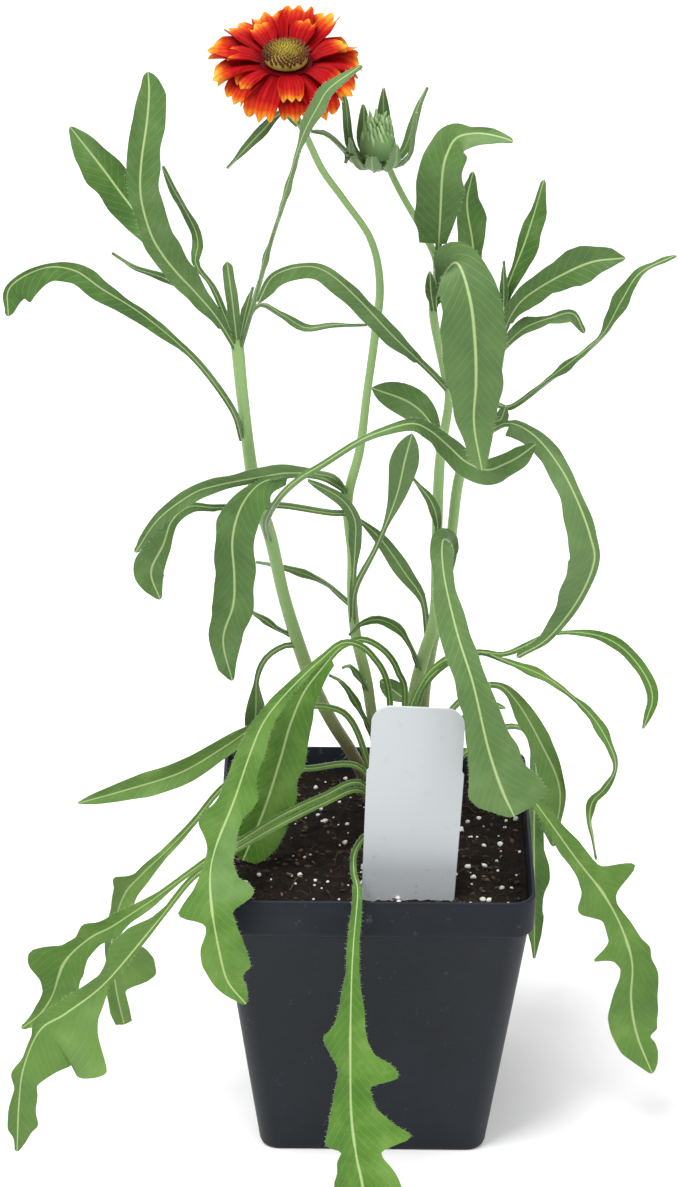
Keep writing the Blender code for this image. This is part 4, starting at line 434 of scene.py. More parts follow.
# Edges of the larger leaves, seen from the root toward the tip: first the left edge, then the right,
# each as pairs of the part of the leaf's length and the distance from the midrib in mm.
EDGES = {
    "tall_front": (
        ((0.13, 1.6), (0.24, 3), (0.32, 3.3), (0.4, 3), (0.48, 3.3), (0.59, 2.8), (0.7, 4), (0.84, 4.5),
         (0.94, 3.2), (0.98, 2), (1, 0.9)),
        ((0.13, 1.6), (0.24, 2.6), (0.32, 4.4), (0.4, 5.9), (0.59, 6), (0.7, 5.6), (0.84, 5.3),
         (0.94, 4.8), (0.98, 2.6), (1, 0.9))),
    "tall_back": (
        ((0.25, 1.2), (0.4, 3.5), (0.5, 4.1), (0.6, 5.3), (0.7, 6), (0.8, 6.5), (0.9, 4.9), (0.95, 3),
         (1, 0.6)),
        ((0.25, 1.2), (0.4, 3), (0.5, 4.5), (0.7, 5.6), (0.8, 5.3), (0.9, 3.9), (0.95, 2.6), (1, 0.8))),
    "arching": (
        ((0.35, 0.9), (0.5, 2.6), (0.6, 3.3), (0.7, 3.8), (0.8, 3.9), (0.85, 5.3), (0.9, 6.9), (0.95, 5),
         (1, 0.8)),
        ((0.35, 0.9), (0.5, 1.3), (0.6, 1.7), (0.7, 3), (0.8, 1.2), (0.9, 1.2), (0.95, 1.3), (1, 0.5))),
    "edge_on": 2 * (
        ((0.2, 0.7), (0.6, 0.7), (0.7, 1.6), (0.8, 3.2), (0.9, 3), (0.96, 2), (1, 0.5)),),
    "small_upright": 2 * (
        ((0.15, 1.2), (0.5, 1.9), (0.8, 1.8), (0.95, 1.6), (1, 0.9)),),
    "crossing": (
        ((0.5, 0.9), (0.6, 1.2), (0.7, 2), (0.8, 3), (0.9, 3.2), (0.96, 2.8), (1, 0.8)),
        ((0.5, 0.9), (0.6, 1.6), (0.7, 3.5), (0.8, 4.2), (0.9, 4.9), (0.96, 3.4), (1, 0.8))),
    "spreading": (
        ((0.2, 0.8), (0.4, 1.5), (0.5, 1.7), (0.6, 2.1), (0.7, 2.6), (0.8, 2.5), (0.9, 1.9), (0.95, 1.3),
         (1, 0.5)),
        ((0.2, 1), (0.3, 2.5), (0.4, 3.6), (0.5, 3.4), (0.6, 3), (0.7, 2.3), (0.8, 2.1), (0.9, 2),
         (0.95, 1.4), (1, 0.5))),
    "bent_down": (
        ((0.5, 1.2), (0.6, 2), (0.75, 2.1), (0.8, 2.8), (0.85, 3.7), (0.9, 3.8), (0.95, 2.4), (1, 0.7)),
        ((0.5, 0.9), (0.6, 1), (0.65, 2), (0.7, 3.8), (0.75, 5.6), (0.8, 6.2), (0.85, 5.9), (0.9, 5),
         (0.95, 3.1), (1, 0.7))),
    "hanging": (
        ((0.2, 0.9), (0.3, 4.2), (0.35, 6.2), (0.42, 6.8), (0.5, 6.3), (0.6, 6.2), (0.7, 6.2), (0.8, 5.8),
         (0.85, 5.6), (0.9, 4.3), (0.95, 2.4), (1, 0.6)),
        ((0.3, 0.9), (0.35, 1.4), (0.42, 4.5), (0.47, 6.4), (0.6, 6), (0.7, 6.5), (0.75, 6.4), (0.8, 5.3),
         (0.85, 4.3), (0.9, 4), (0.95, 3.3), (1, 0.6))),
    "over_left": (
        ((0.2, 1.5), (0.35, 3), (0.5, 3.5), (0.6, 3.5), (0.7, 3.8), (0.8, 3.4), (0.9, 3.6), (0.95, 2.8),
         (1, 0.6)),
        ((0.2, 1.2), (0.35, 2.4), (0.5, 2.5), (0.6, 2.4), (0.7, 1.5), (0.8, 0.9), (0.9, 1.4), (0.95, 1.1),
         (1, 0.5))),
    "front_arch": (
        ((0.1, 1.2), (0.2, 5), (0.3, 7), (0.4, 8.3), (0.5, 8.8), (0.6, 8.5), (0.7, 7.5), (0.8, 6.4),
         (0.9, 4.5), (0.95, 3), (1, 0.8)),
        ((0.1, 1.2), (0.2, 3.4), (0.3, 6.2), (0.4, 9.3), (0.5, 9.3), (0.6, 9.1), (0.7, 8), (0.8, 5.5),
         (0.9, 3.6), (0.95, 3), (1, 0.8))),
    "curled_top": (
        ((0.05, 2.5), (0.12, 4.8), (0.2, 6.5), (0.3, 7.2), (0.4, 7.4), (0.5, 7), (0.6, 6.2), (0.7, 4.9),
         (0.8, 1.8), (0.9, 1.9), (1, 0.6)),
        ((0.05, 1), (0.2, 2.8), (0.3, 4.4), (0.4, 5.9), (0.5, 7), (0.6, 6.8), (0.7, 6), (0.8, 4.2),
         (0.9, 3), (1, 0.7))),
    "behind_top": (
        ((0.3, 2.5), (0.5, 4.5), (0.6, 4.5), (0.7, 3.6), (0.8, 2.5), (0.9, 1.6), (1, 0.5)),
        ((0.3, 1.2), (0.5, 2.5), (0.6, 4.2), (0.7, 5.3), (0.8, 4.8), (0.9, 3), (1, 0.5))),
    "shoot_up": (
        ((0.12, 0.9), (0.4, 1), (0.5, 1.7), (0.6, 2.3), (0.7, 2.2), (0.8, 1.1), (0.9, 0.8), (1, 0.4)),
        ((0.12, 0.9), (0.2, 1.4), (0.3, 2.6), (0.4, 3.6), (0.5, 4.2), (0.6, 4.6), (0.7, 4.1), (0.8, 3.6),
         (0.9, 2.1), (1, 0.5))),
    "shoot_right": (
        ((0.1, 1.4), (0.2, 3), (0.3, 2.9), (0.4, 3.8), (0.5, 4.1), (0.6, 4.3), (0.7, 5.6), (0.78, 5.5),
         (0.85, 4), (0.94, 3.2), (1, 0.5)),
        ((0.1, 1.4), (0.2, 1.8), (0.3, 3.3), (0.4, 4), (0.5, 3.3), (0.6, 4.7), (0.7, 5.8), (0.78, 5.1),
         (0.9, 2.9), (0.95, 1.6), (1, 0.4))),
    "shoot_curl": (
        ((0.1, 1.6), (0.2, 2.8), (0.4, 2.8), (0.5, 1.5), (0.6, 0.8), (0.7, 1.2), (0.8, 1.1), (1, 0.4)),
        ((0.1, 0.9), (0.2, 1.2), (0.4, 2), (0.5, 2), (0.6, 1.5), (0.7, 2.9), (0.8, 3.9), (0.9, 2.4),
         (1, 0.4))),
    "big_droop": (
        ((0.12, 1), (0.3, 2.9), (0.4, 2), (0.5, 2.1), (0.6, 1.6), (0.7, 1.5), (0.8, 1.4), (0.9, 1.2),
         (1, 0.5)),
        ((0.06, 1.5), (0.12, 5.5), (0.2, 5), (0.3, 4), (0.4, 5.6), (0.5, 7), (0.6, 8.2), (0.7, 7.2),
         (0.8, 4.6), (0.9, 2.2), (1, 0.5))),
    "front_hanging": (
        ((0.12, 1), (0.25, 2.3), (0.3, 3.1), (0.4, 2.6), (0.5, 3.8), (0.6, 3.9), (0.65, 4.4), (0.7, 5.3),
         (0.75, 6.5), (0.8, 7.7), (0.85, 9.2), (0.93, 11.3), (0.975, 12), (1, 4.5)),
        ((0.12, 1.2), (0.25, 3.5), (0.35, 3.6), (0.45, 5), (0.6, 5.4), (0.75, 5.5), (0.8, 6), (0.85, 7.3),
         (0.9, 9.7), (0.935, 8.9), (0.975, 4.2), (1, 1.2))),
    "dark_left": (
        ((0.5, 1), (0.6, 3.6), (0.67, 5.7), (0.75, 7.2), (0.83, 8), (0.9, 8.5), (0.95, 8), (0.98, 6.4),
         (1, 3)),
        ((0.5, 1), (0.6, 3.4), (0.67, 5.2), (0.75, 6.6), (0.83, 7), (0.9, 7), (0.95, 6.2), (0.98, 4.6),
         (1, 2))),
    "lobed_left": (
        ((0.42, 0.9), (0.5, 1.6), (0.55, 2.8), (0.6, 4.1), (0.65, 4.8), (0.668, 6.6), (0.685, 6.2),
         (0.7, 4.3), (0.724, 4.4), (0.748, 5.7), (0.78, 6.7), (0.805, 8.5), (0.818, 13), (0.832, 14.8),
         (0.842, 12.5), (0.855, 5.7), (0.878, 6.5), (0.91, 7.7), (0.945, 8.4), (0.96, 5.2), (0.975, 4.2),
         (0.99, 2.8), (1, 0.6)),
        ((0.42, 0.9), (0.5, 2), (0.55, 3), (0.6, 4), (0.65, 4.3), (0.7, 5.8), (0.735, 8.9), (0.748, 4.4),
         (0.76, 2.2), (0.78, 1.9), (0.805, 3.4), (0.825, 5.2), (0.842, 8.4), (0.855, 11.2), (0.866, 3.2),
         (0.878, 2.9), (0.9, 5.3), (0.925, 6.3), (0.945, 4.8), (0.975, 2.6), (1, 0.6))),
    "far_left": (
        ((0.5, 1), (0.6, 1.6), (0.66, 3), (0.72, 4), (0.8, 3.2), (0.82, 9.5), (0.86, 13.2), (0.89, 13),
         (0.91, 9.5), (0.925, 2.6), (0.97, 3), (1, 2.6)),
        ((0.5, 1), (0.6, 1.3), (0.67, 2.1), (0.685, 3.8), (0.695, 6.8), (0.71, 3.8), (0.75, 2.4),
         (0.82, 2.2), (0.88, 2.4), (0.93, 3.6), (0.97, 3.4), (1, 2.4))),
    "corner_back": (
        ((0.55, 0.9), (0.6, 1.5), (0.65, 2.3), (0.68, 2.3), (0.71, 3.3), (0.75, 3.4), (0.79, 4.7),
         (0.83, 7.6), (0.87, 7.8), (0.9, 5), (0.93, 4), (0.97, 2.2), (1, 0.6)),
        ((0.55, 0.9), (0.6, 1), (0.67, 2.4), (0.7, 3.1), (0.74, 3.8), (0.755, 5.2), (0.78, 2.7),
         (0.81, 4), (0.825, 7.9), (0.838, 11.4), (0.856, 9.3), (0.874, 4.8), (0.9, 3.4), (0.94, 2.8),
         (0.97, 1.5), (1, 0.5))),
    "corner_front": (
        ((0.5, 0.9), (0.6, 1.2), (0.655, 1.4), (0.68, 4.3), (0.7, 6.7), (0.715, 12.1), (0.722, 18.7),
         (0.732, 24), (0.742, 22), (0.752, 19.5), (0.777, 16.1), (0.82, 12.5), (0.84, 9.6), (0.865, 6.9),
         (0.88, 4.9), (0.913, 5.8), (0.952, 6.4), (0.962, 4.3), (0.98, 2.8), (1, 0.6)),
        ((0.5, 0.9), (0.53, 2.2), (0.565, 6), (0.598, 6.8), (0.623, 5.7), (0.655, 3.2), (0.7, 4),
         (0.78, 3.8), (0.8, 1.2), (0.84, 1.3), (0.868, 3.5), (0.89, 1.6), (0.926, 3.1), (0.962, 3.2),
         (0.975, 1.4), (1, 0.6))),
    "front_low": (
        ((0.34, 1.4), (0.45, 1.8), (0.5, 2.2), (0.55, 3.2), (0.6, 4.7), (0.634, 5.4), (0.653, 7),
         (0.661, 10.1), (0.67, 12.8), (0.686, 14.5), (0.698, 12.8), (0.706, 5.4), (0.733, 6.3),
         (0.752, 7.4), (0.762, 9.6), (0.777, 12), (0.795, 14.4), (0.81, 16.6), (0.82, 15.6), (0.828, 8),
         (0.84, 8.2), (0.864, 9.7), (0.9, 11.3), (0.94, 8.5), (0.97, 5.5), (1, 0.6)),
        ((0.34, 1.4), (0.45, 1.8), (0.5, 2.2), (0.55, 3.2), (0.595, 4.7), (0.607, 6), (0.618, 8.8),
         (0.638, 7.4), (0.658, 5.6), (0.677, 4.1), (0.7, 4.3), (0.723, 5.5), (0.752, 7), (0.778, 7.1),
         (0.8, 8.8), (0.81, 8.5), (0.82, 3.6), (0.835, 6), (0.855, 6.7), (0.868, 8.2), (0.9, 9),
         (0.94, 8), (0.97, 5), (1, 0.6))),
    "right_lobed": (
        ((0.42, 1.2), (0.5, 2.6), (0.55, 3.8), (0.6, 4), (0.613, 4.6), (0.63, 10.8), (0.641, 13.5),
         (0.65, 8.4), (0.658, 3.6), (0.675, 2.1), (0.7, 2.7), (0.728, 3.7), (0.75, 4.8), (0.762, 6.5),
         (0.78, 5.8), (0.797, 7.7), (0.847, 8.6), (0.885, 7.6), (0.918, 7.7), (0.932, 3.6), (0.945, 4.6),
         (0.965, 4.3), (0.985, 2.8), (1, 0.6)),
        ((0.42, 1.2), (0.5, 2), (0.55, 3.2), (0.6, 3.6), (0.625, 5.4), (0.638, 10), (0.653, 9.9),
         (0.675, 6.6), (0.69, 4.4), (0.71, 4.9), (0.732, 5.7), (0.741, 9.2), (0.749, 14.6), (0.758, 9.4),
         (0.768, 5.7), (0.79, 3.9), (0.82, 4.6), (0.847, 5.6), (0.876, 7.8), (0.905, 7.7), (0.942, 6.3),
         (0.97, 4.1), (1, 0.6))),
    "right_plain": (
        ((0.45, 1), (0.5, 1), (0.6, 2.8), (0.7, 3.5), (0.8, 2.2), (0.9, 1.4), (1, 0.5)),
        ((0.45, 0.8), (0.55, 1.4), (0.6, 3.4), (0.7, 4.1), (0.8, 5.4), (0.9, 6.4), (0.95, 4.5),
         (1, 0.6))),
}


def along(points, count):
    """Smooth curve through the points, as places at `count` even steps or at the shares given."""
    knots = [np.array(place(p)) for p in points]
    knots = [2 * knots[0] - knots[1]] + knots + [2 * knots[-1] - knots[-2]]
    fine = []
    for a, b, c, d in zip(knots, knots[1:], knots[2:], knots[3:]):
        for t in np.arange(24) / 24:
            fine.append(0.5 * (2 * b + (c - a) * t + (2 * a - 5 * b + 4 * c - d) * t * t
                               + (3 * b - a - 3 * c + d) * t ** 3))
    fine = np.array(fine + [knots[-2]])
    run = np.concatenate(([0], np.cumsum(np.linalg.norm(np.diff(fine, axis=0), axis=1))))
    steps = np.linspace(0, run[-1], count) if np.isscalar(count) else np.asarray(count) * run[-1]
    return np.stack([np.interp(steps, run, fine[:, i]) for i in range(3)], axis=1), run[-1]


def directions(spine):
    """Unit vectors along a line of places."""
    tangents = np.gradient(spine, axis=0)
    return tangents / np.linalg.norm(tangents, axis=1)[:, None]


def turns(count):
    """Angles of even steps round a full turn."""
    return [2 * math.pi * k / count for k in range(count)]


class Sheet:
    """Gathers places, faces and the marks that the materials read, for one piece."""

    def __init__(self):
        self.verts, self.faces, self.marks, self.kinds, self.slots = [], [], [], [], []

    def add(self, verts, faces, marks, kind=0.0, slot=0):
        """Add a part; marks are one (x, y, z) for each vertex."""
        start = len(self.verts)
        self.verts.extend(tuple(v) for v in verts)
        self.faces.extend(tuple(start + k for k in f) for f in faces)
        self.marks.extend(tuple(m) for m in marks)
        self.kinds.extend([kind] * len(verts))
        self.slots.extend([slot] * len(faces))

    def build(self, name, materials, slot_name, node=None, smooth_angle=math.radians(60)):
        """The piece as an object that rides on the plant."""
        mesh = bpy.data.meshes.new(name)
        mesh.from_pydata([tuple(MM * c for c in v) for v in self.verts], [], self.faces)
        mark = mesh.attributes.new("mark", "FLOAT_VECTOR", "POINT")
        mark.data.foreach_set("vector", np.array(self.marks, np.float32).ravel())
        kind = mesh.attributes.new("kind", "FLOAT", "POINT")
        kind.data.foreach_set("value", np.array(self.kinds, np.float32))
        for mat in materials:
            mesh.materials.append(mat)
        mesh.polygons.foreach_set("material_index", np.array(self.slots, np.int32))
        work = bmesh.new()
        work.from_mesh(mesh)
        bmesh.ops.recalc_face_normals(work, faces=work.faces)
        work.to_mesh(mesh)
        work.free()
        mesh.polygons.foreach_set("use_smooth", [True] * len(mesh.polygons))
        mesh.set_sharp_from_angle(angle=smooth_angle)
        obj = bpy.data.objects.new(name, mesh)
        bpy.context.scene.collection.objects.link(obj)
        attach(obj, "root")
        if node:
            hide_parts(node)
        return obj


def grid_rim(rows, across):
    """Indices of a grid's outermost places, in order round it."""
    return (list(range(across)) + [i * across + across - 1 for i in range(1, rows)]
            + [(rows - 1) * across + j for j in range(across - 2, -1, -1)]
            + [i * across for i in range(rows - 2, 0, -1)])


def grid_slab(middle, normal, thick):
    """Closed sheet round a grid of mid-places: its places and faces, upper side first."""
    rows, across = middle.shape[:2]
    half = 0.5 * normal * np.asarray(thick)[..., None]
    verts = np.concatenate(((middle + half).reshape(-1, 3), (middle - half).reshape(-1, 3)))
    under = rows * across
    faces = []
    for i in range(rows - 1):
        for a in range(i * across, i * across + across - 1):
            b, c, d = a + 1, a + 1 + across, a + across
            faces.append((a, b, c, d))
            faces.append((d + under, c + under, b + under, a + under))
    rim = grid_rim(rows, across)
    for a, b in zip(rim, rim[1:] + rim[:1]):
        faces.append((a, b, b + under, a + under))
    return verts, faces


def tube_faces(rings, count):
    """Faces of a closed tube through so many rings of `count` places each."""
    faces = []
    for r in range(rings - 1):
        for k in range(count):
            a, b = r * count + k, r * count + (k + 1) % count
            faces.append((a, b, b + count, a + count))
    return faces + [tuple(range(count)), tuple(range((rings - 1) * count, rings * count))]


def ring_loft(sheet, rings, tint, slot=0):
    """Closed solid through rings of places with equal counts."""
    verts = [v for ring in rings for v in ring]
    sheet.add(verts, tube_faces(len(rings), len(rings[0])), [(0.0, 0.0, 1.0)] * len(verts), tint, slot)


def spin(sheet, centre, axis, side, profile, count, tint, slot=0):
    """Closed round solid about an axis, through rings of the profile's (radius, height)."""
    back = axis.cross(side)
    ring_loft(sheet, [[tuple(centre + (side * math.cos(a) + back * math.sin(a)) * r + axis * h)
                       for a in turns(count)] for r, h in profile], tint, slot)


def scaled(profile, radius, height):
    """A profile given in parts, in millimetres."""
    return [(radius * r, height * h) for r, h in profile]


def blade_steps(spec, length):
    """How many steps the leaf's blade has in the solid, which set where its waves or lobes are."""
    if spec["cleft"] > 0:
        return LOBE_PERIOD * spec["lobes"] + 1
    return max(3, round((1 - spec["stalk"]) * length / SOLID_STEP))


def lobe_reach(spec, step, on_left):
    """Edge's reach at a place along the blade, as a part of the half width, and how far forward."""
    cleft = spec["cleft"]
    if spec["name"] in EDGES:
        turn = 0.0 if on_left else 1.7
        uneven = (1 + math.sin(step * 5.1 + turn)) * (1 + math.sin(step * 1.9 + 2 * turn))
        return 1.0 - 0.035 * uneven, 0.0
    if cleft == 0:
        return 1.0 - 0.05 * abs(math.sin(step * 2.3)), 0.0
    first = 1.0 if on_left else 1.0 + LOBE_PERIOD / 2
    nearest = first + LOBE_PERIOD * round((step - first) / LOBE_PERIOD)
    if nearest < 0.5 or nearest > LOBE_PERIOD * spec["lobes"]:
        return 1.0 - 0.6 * cleft, 0.0
    away = min(1.0, abs(step - nearest) / 1.35)
    swell = (0.5 + 0.5 * math.cos(math.pi * away)) ** 0.75
    return 1.0 - cleft + cleft * 1.12 * swell, 0.55 * cleft * swell


def half_width(spec, s, on_left):
    """How far the blade reaches from the midrib at s, without its lobes."""
    if s <= spec["stalk"]:
        return STALK_HALF
    if spec["name"] in EDGES:
        shares, reach = zip(*EDGES[spec["name"]][0 if on_left else 1])
        smooth = sum(np.interp(s + EDGE_SOFT * k, shares, reach) for k in (-1, 0, 1)) / 3
        return max(STALK_HALF, float(smooth)) if s < 1 else TIP_HALF
    b = (s - spec["stalk"]) / (1 - spec["stalk"])
    bow = math.sin(math.pi * b ** (math.log(0.5) / math.log(spec["peak"]))) ** 0.66 if b < 1 else 0.0
    return max(TIP_HALF + (STALK_HALF - TIP_HALF) * (1 - b), 0.5 * spec["width"] * bow)


def leaf_stations(spec, length):
    """Parts of the leaf's length at which its rows of places lie, close together where its edge is."""
    evenly = np.linspace(0, 1, max(10, round(length / STEP_LENGTH)))
    if spec["name"] not in EDGES:
        return 1 - (1 - evenly) ** 1.15
    start = spec["stalk"]
    blade = np.linspace(start, 1, max(10, round((1 - start) * length / EDGE_STEP)))
    return np.concatenate((evenly[evenly < start - 0.01], blade))


def leaf_turn(spec, s, centre, along_dir, last_side):
    """Directions across the leaf and out of its upper side, and across it before its roll."""
    to_eye = spec["faces"] - centre
    side = np.cross(along_dir, to_eye / np.linalg.norm(to_eye))
    side /= np.linalg.norm(side)
    if last_side is not None and side @ last_side < 0:
        side = -side
    up = np.cross(side, along_dir)
    up *= math.copysign(1, up @ to_eye)
    roll = math.radians(spec["roll"][0] + (spec["roll"][1] - spec["roll"][0]) * s)
    turned = side * math.cos(roll) + up * math.sin(roll)
    return turned, up * math.cos(roll) - side * math.sin(roll), side


def grow_leaf(sheet, spec, tint, hairs, rng):
    """Leaf with a grooved midrib, rippled edge and teeth or lobes, and hairs along its edge."""
    _, length = along(spec["spine"], 2)
    stations = leaf_stations(spec, length)
    spine, _ = along(spec["spine"], stations)
    steps_in_blade = blade_steps(spec, length)
    fold = math.radians(spec["fold"])
    middle, normals, thick, marks, last_side = [], [], [], [], None
    for s, centre, along_dir in zip(stations, spine, directions(spine)):
        side, up, last_side = leaf_turn(spec, s, centre, along_dir, last_side)
        b = max(0.0, (s - spec["stalk"]) / (1 - spec["stalk"]))
        step = b * steps_in_blade
        settled = min(1.0, b * 6) * min(1.0, (1 - s) * 12)
        row, thin, mark = [], [], []
        for u in np.linspace(-1, 1, ACROSS):
            half = half_width(spec, s, u < 0)
            reach, forward = lobe_reach(spec, step, u < 0) if b > 0 else (1.0, 0.0)
            inner = 1 - spec["cleft"] if spec["cleft"] > 0 else LOBE_BAND * reach
            out = max(0.0, (abs(u) - LOBE_BAND) / (1 - LOBE_BAND))
            x = min(1.0, abs(u) / LOBE_BAND) * inner + out * max(0.01, reach - inner)
            x *= half * math.copysign(1, u)
            ripple = spec["wave"] * (math.sin(2.4 * step + 1.3 * u) + 0.35 * math.sin(7.1 * step + 2 * u))
            groove = -GROOVE_DEPTH * math.exp(-(x / GROOVE_HALF) ** 2) * min(1.0, half / 2)
            row.append(centre + x * math.cos(fold) * side
                       + (abs(x) * math.sin(fold) + ripple * u * u * settled + groove) * up
                       + out ** 1.5 * forward * half * along_dir)
            rib = math.exp(-(x / RIB_HALF) ** 2) * (RIB_THICK - 0.5 * b)
            blade = BLADE * (1 - 0.25 * abs(u)) + rib
            thin.append(blade if b > 0.05 else STALK_THICK - 0.5 * abs(u))
            mark.append((x, s * length, half))
        middle.append(row), normals.append([up] * ACROSS), thick.append(thin), marks.append(mark)
    middle, marks = np.array(middle), np.array(marks).reshape(-1, 3)
    verts, faces = grid_slab(middle, np.array(normals), np.array(thick))
    sheet.add(verts, faces, np.concatenate((marks, marks * (1, 1, -1))), tint)
    grow_edge_hairs(hairs, middle, rng)


def grow_edge_hairs(hairs, middle, rng):
    """Short pale hairs along both edges of a leaf and on its stalk."""
    for i in range(1, len(middle) - 1):
        for edge, inner in ((0, 2), (ACROSS - 1, ACROSS - 3)):
            for _ in range(HAIRS_AT_EDGE):
                if rng.random() < HAIRS_MISSING:
                    continue
                t = rng.random()
                base = middle[i, edge] * (1 - t) + middle[i + 1, edge] * t
                out = middle[i, edge] - middle[i, inner]
                out = out / (np.linalg.norm(out) + 1e-6)
                add_hair(hairs, base, out, LEAF_HAIR_STRAY, LEAF_HAIR_LENGTHS, LEAF_HAIR_RADIUS, rng)


def add_hair(hairs, base, out, stray, lengths, radius, rng):
    """One tapered hair with three sides, up to so far astray from its direction out."""
    out = out + np.array([rng.uniform(-stray, stray) for _ in range(3)])
    out /= np.linalg.norm(out)
    side = np.cross(out, (0.31, 0.52, 0.79))
    side /= np.linalg.norm(side)
    back = np.cross(out, side)
    foot = base - out * HAIR_ROOT
    verts = [foot + radius * (math.cos(a) * side + math.sin(a) * back) for a in turns(3)]
    verts.append(base + out * rng.uniform(*lengths))
    hairs.add(verts, [(0, 1, 3), (1, 2, 3), (2, 0, 3), (2, 1, 0)], [(0, 0, 0)] * 4)


def grow_tube(sheet, spine, radii, sides, tint, slot=0, ribs=0.0):
    """Round tube along a line of places, with a slightly ribbed skin."""
    tangents = directions(spine)
    side = np.cross(tangents[0], (0.0, 1.0, 0.12))
    rings, outs = [], []
    for centre, along_dir, radius in zip(spine, tangents, radii):
        side = side - along_dir * (side @ along_dir)
        side /= np.linalg.norm(side)
        back = np.cross(along_dir, side)
        out = [math.cos(a) * side + math.sin(a) * back for a in turns(sides)]
        rings.append([centre + o * radius * (1 + ribs * math.cos(5 * a))
                      for o, a in zip(out, turns(sides))])
        outs.append(out)
    marks = [(0.0, centre[2], radius) for centre, radius in zip(spine, radii) for _ in range(sides)]
    sheet.add([v for ring in rings for v in ring], tube_faces(len(rings), sides), marks, tint, slot)
    return np.array(rings), np.array(outs)


def grow_stem(sheet, name, hairs, rng):
    """Stem with swollen joints and fine hairs standing out all round."""
    spec = STEMS[name]
    x, y = spec["foot"]
    points = [mm(x, y, HOLE_BOTTOM + 0.5), mm(x, y, 76), mm(x, y, SOIL_TOP + 2.5)] + spec["spine"]
    _, length = along(points, 2)
    count = round(length / STEM_STEP)
    spine, _ = along(points, count)
    low = np.searchsorted(spine[:, 2], SOIL_TOP)
    spine[:low, 0], spine[:low, 1] = x, y
    share = np.linspace(0, 1, count)
    radii = spec["radii"][0] * (1 - share) + spec["radii"][1] * share
    radii = radii * (1 + SWELLING * np.sin(share * length / SWELLING_STEP)) * STEM_FATTER
    rings, outs = grow_tube(sheet, spine, radii, STEM_SIDES, rng.uniform(0.3, 0.7), 1, STEM_RIBS)
    for i in range(low + 1, count - 2):
        for _ in range(spec["hairs"]):
            k = rng.randrange(STEM_SIDES)
            t = rng.random()
            base = rings[i, k] * (1 - t) + rings[i + 1, k] * t
            add_hair(hairs, base, outs[i, k], STEM_HAIR_STRAY, STEM_HAIR_LENGTHS, STEM_HAIR_RADIUS, rng)


def grow_crown(sheet):
    """Short crown that the low leaves grow from, on a peg in the soil."""
    spin(sheet, mm(CROWN.x, CROWN.y, 0), UP, RIGHT, CROWN_PROFILE, 24, 0.2, 1)


def bloom_out(azimuth):
    """Direction out from the bloom's axis: azimuth 0 to the right and 90 degrees to the back."""
    return RIGHT * math.cos(azimuth) + BLOOM_BACK * math.sin(azimuth)


def bloom_place(radius, azimuth, height):
    """Place in the bloom's own frame."""
    return BLOOM_CENTRE + bloom_out(azimuth) * radius + BLOOM_AXIS * height


def bud_out(azimuth):
    """Direction out from the bud's upright axis."""
    return mm(math.cos(azimuth), math.sin(azimuth), 0)


def grow_calyx(sheet, hairs, rng):
    """Green cup and pointed bracts under the bloom."""
    spin(sheet, BLOOM_CENTRE, BLOOM_AXIS, RIGHT, CALYX_PROFILE, 28, 0.4)
    for k in range(CALYX_BRACTS):
        azimuth = 2 * math.pi * (k + 0.5) / CALYX_BRACTS
        grow = 1.0 if k % 2 else 0.82
        spine = [bloom_place(3.2, azimuth, -5.2), bloom_place(6.5 * grow, azimuth, -4.4),
                 bloom_place(9.3 * grow, azimuth, -5.6), bloom_place(11.2 * grow, azimuth, -8.2)]
        bract = leaf("calyx", 0.05, spine, 3.2, peak=0.35, fold=0, wave=0.1,
                     faces=BLOOM_CENTRE + BLOOM_AXIS * 60)
        grow_leaf(sheet, bract, rng.uniform(0.4, 0.8), hairs, rng)


def grow_bud_bracts(sheet, hairs, rng):
    """Cup and spreading pointed bracts that hold the bud."""
    spin(sheet, BUD_CENTRE, UP, RIGHT, BUD_CUP_PROFILE, 24, 0.4)
    for azimuth, reach, tip in BUD_BRACTS:
        spine = [BUD_CENTRE + bud_out(math.radians(azimuth)) * r + UP * h for r, h in
                 ((2.4, -7.8), (6.0, -7.2), (9.0, -3.4), ((9.2 + reach) / 2, tip * 0.5), (reach, tip))]
        bract = leaf("bract", 0.05, spine, 4.6, peak=0.4, fold=6, wave=0.15, faces=BUD_CENTRE + UP * 14)
        grow_leaf(sheet, bract, rng.uniform(0.5, 0.9), hairs, rng)


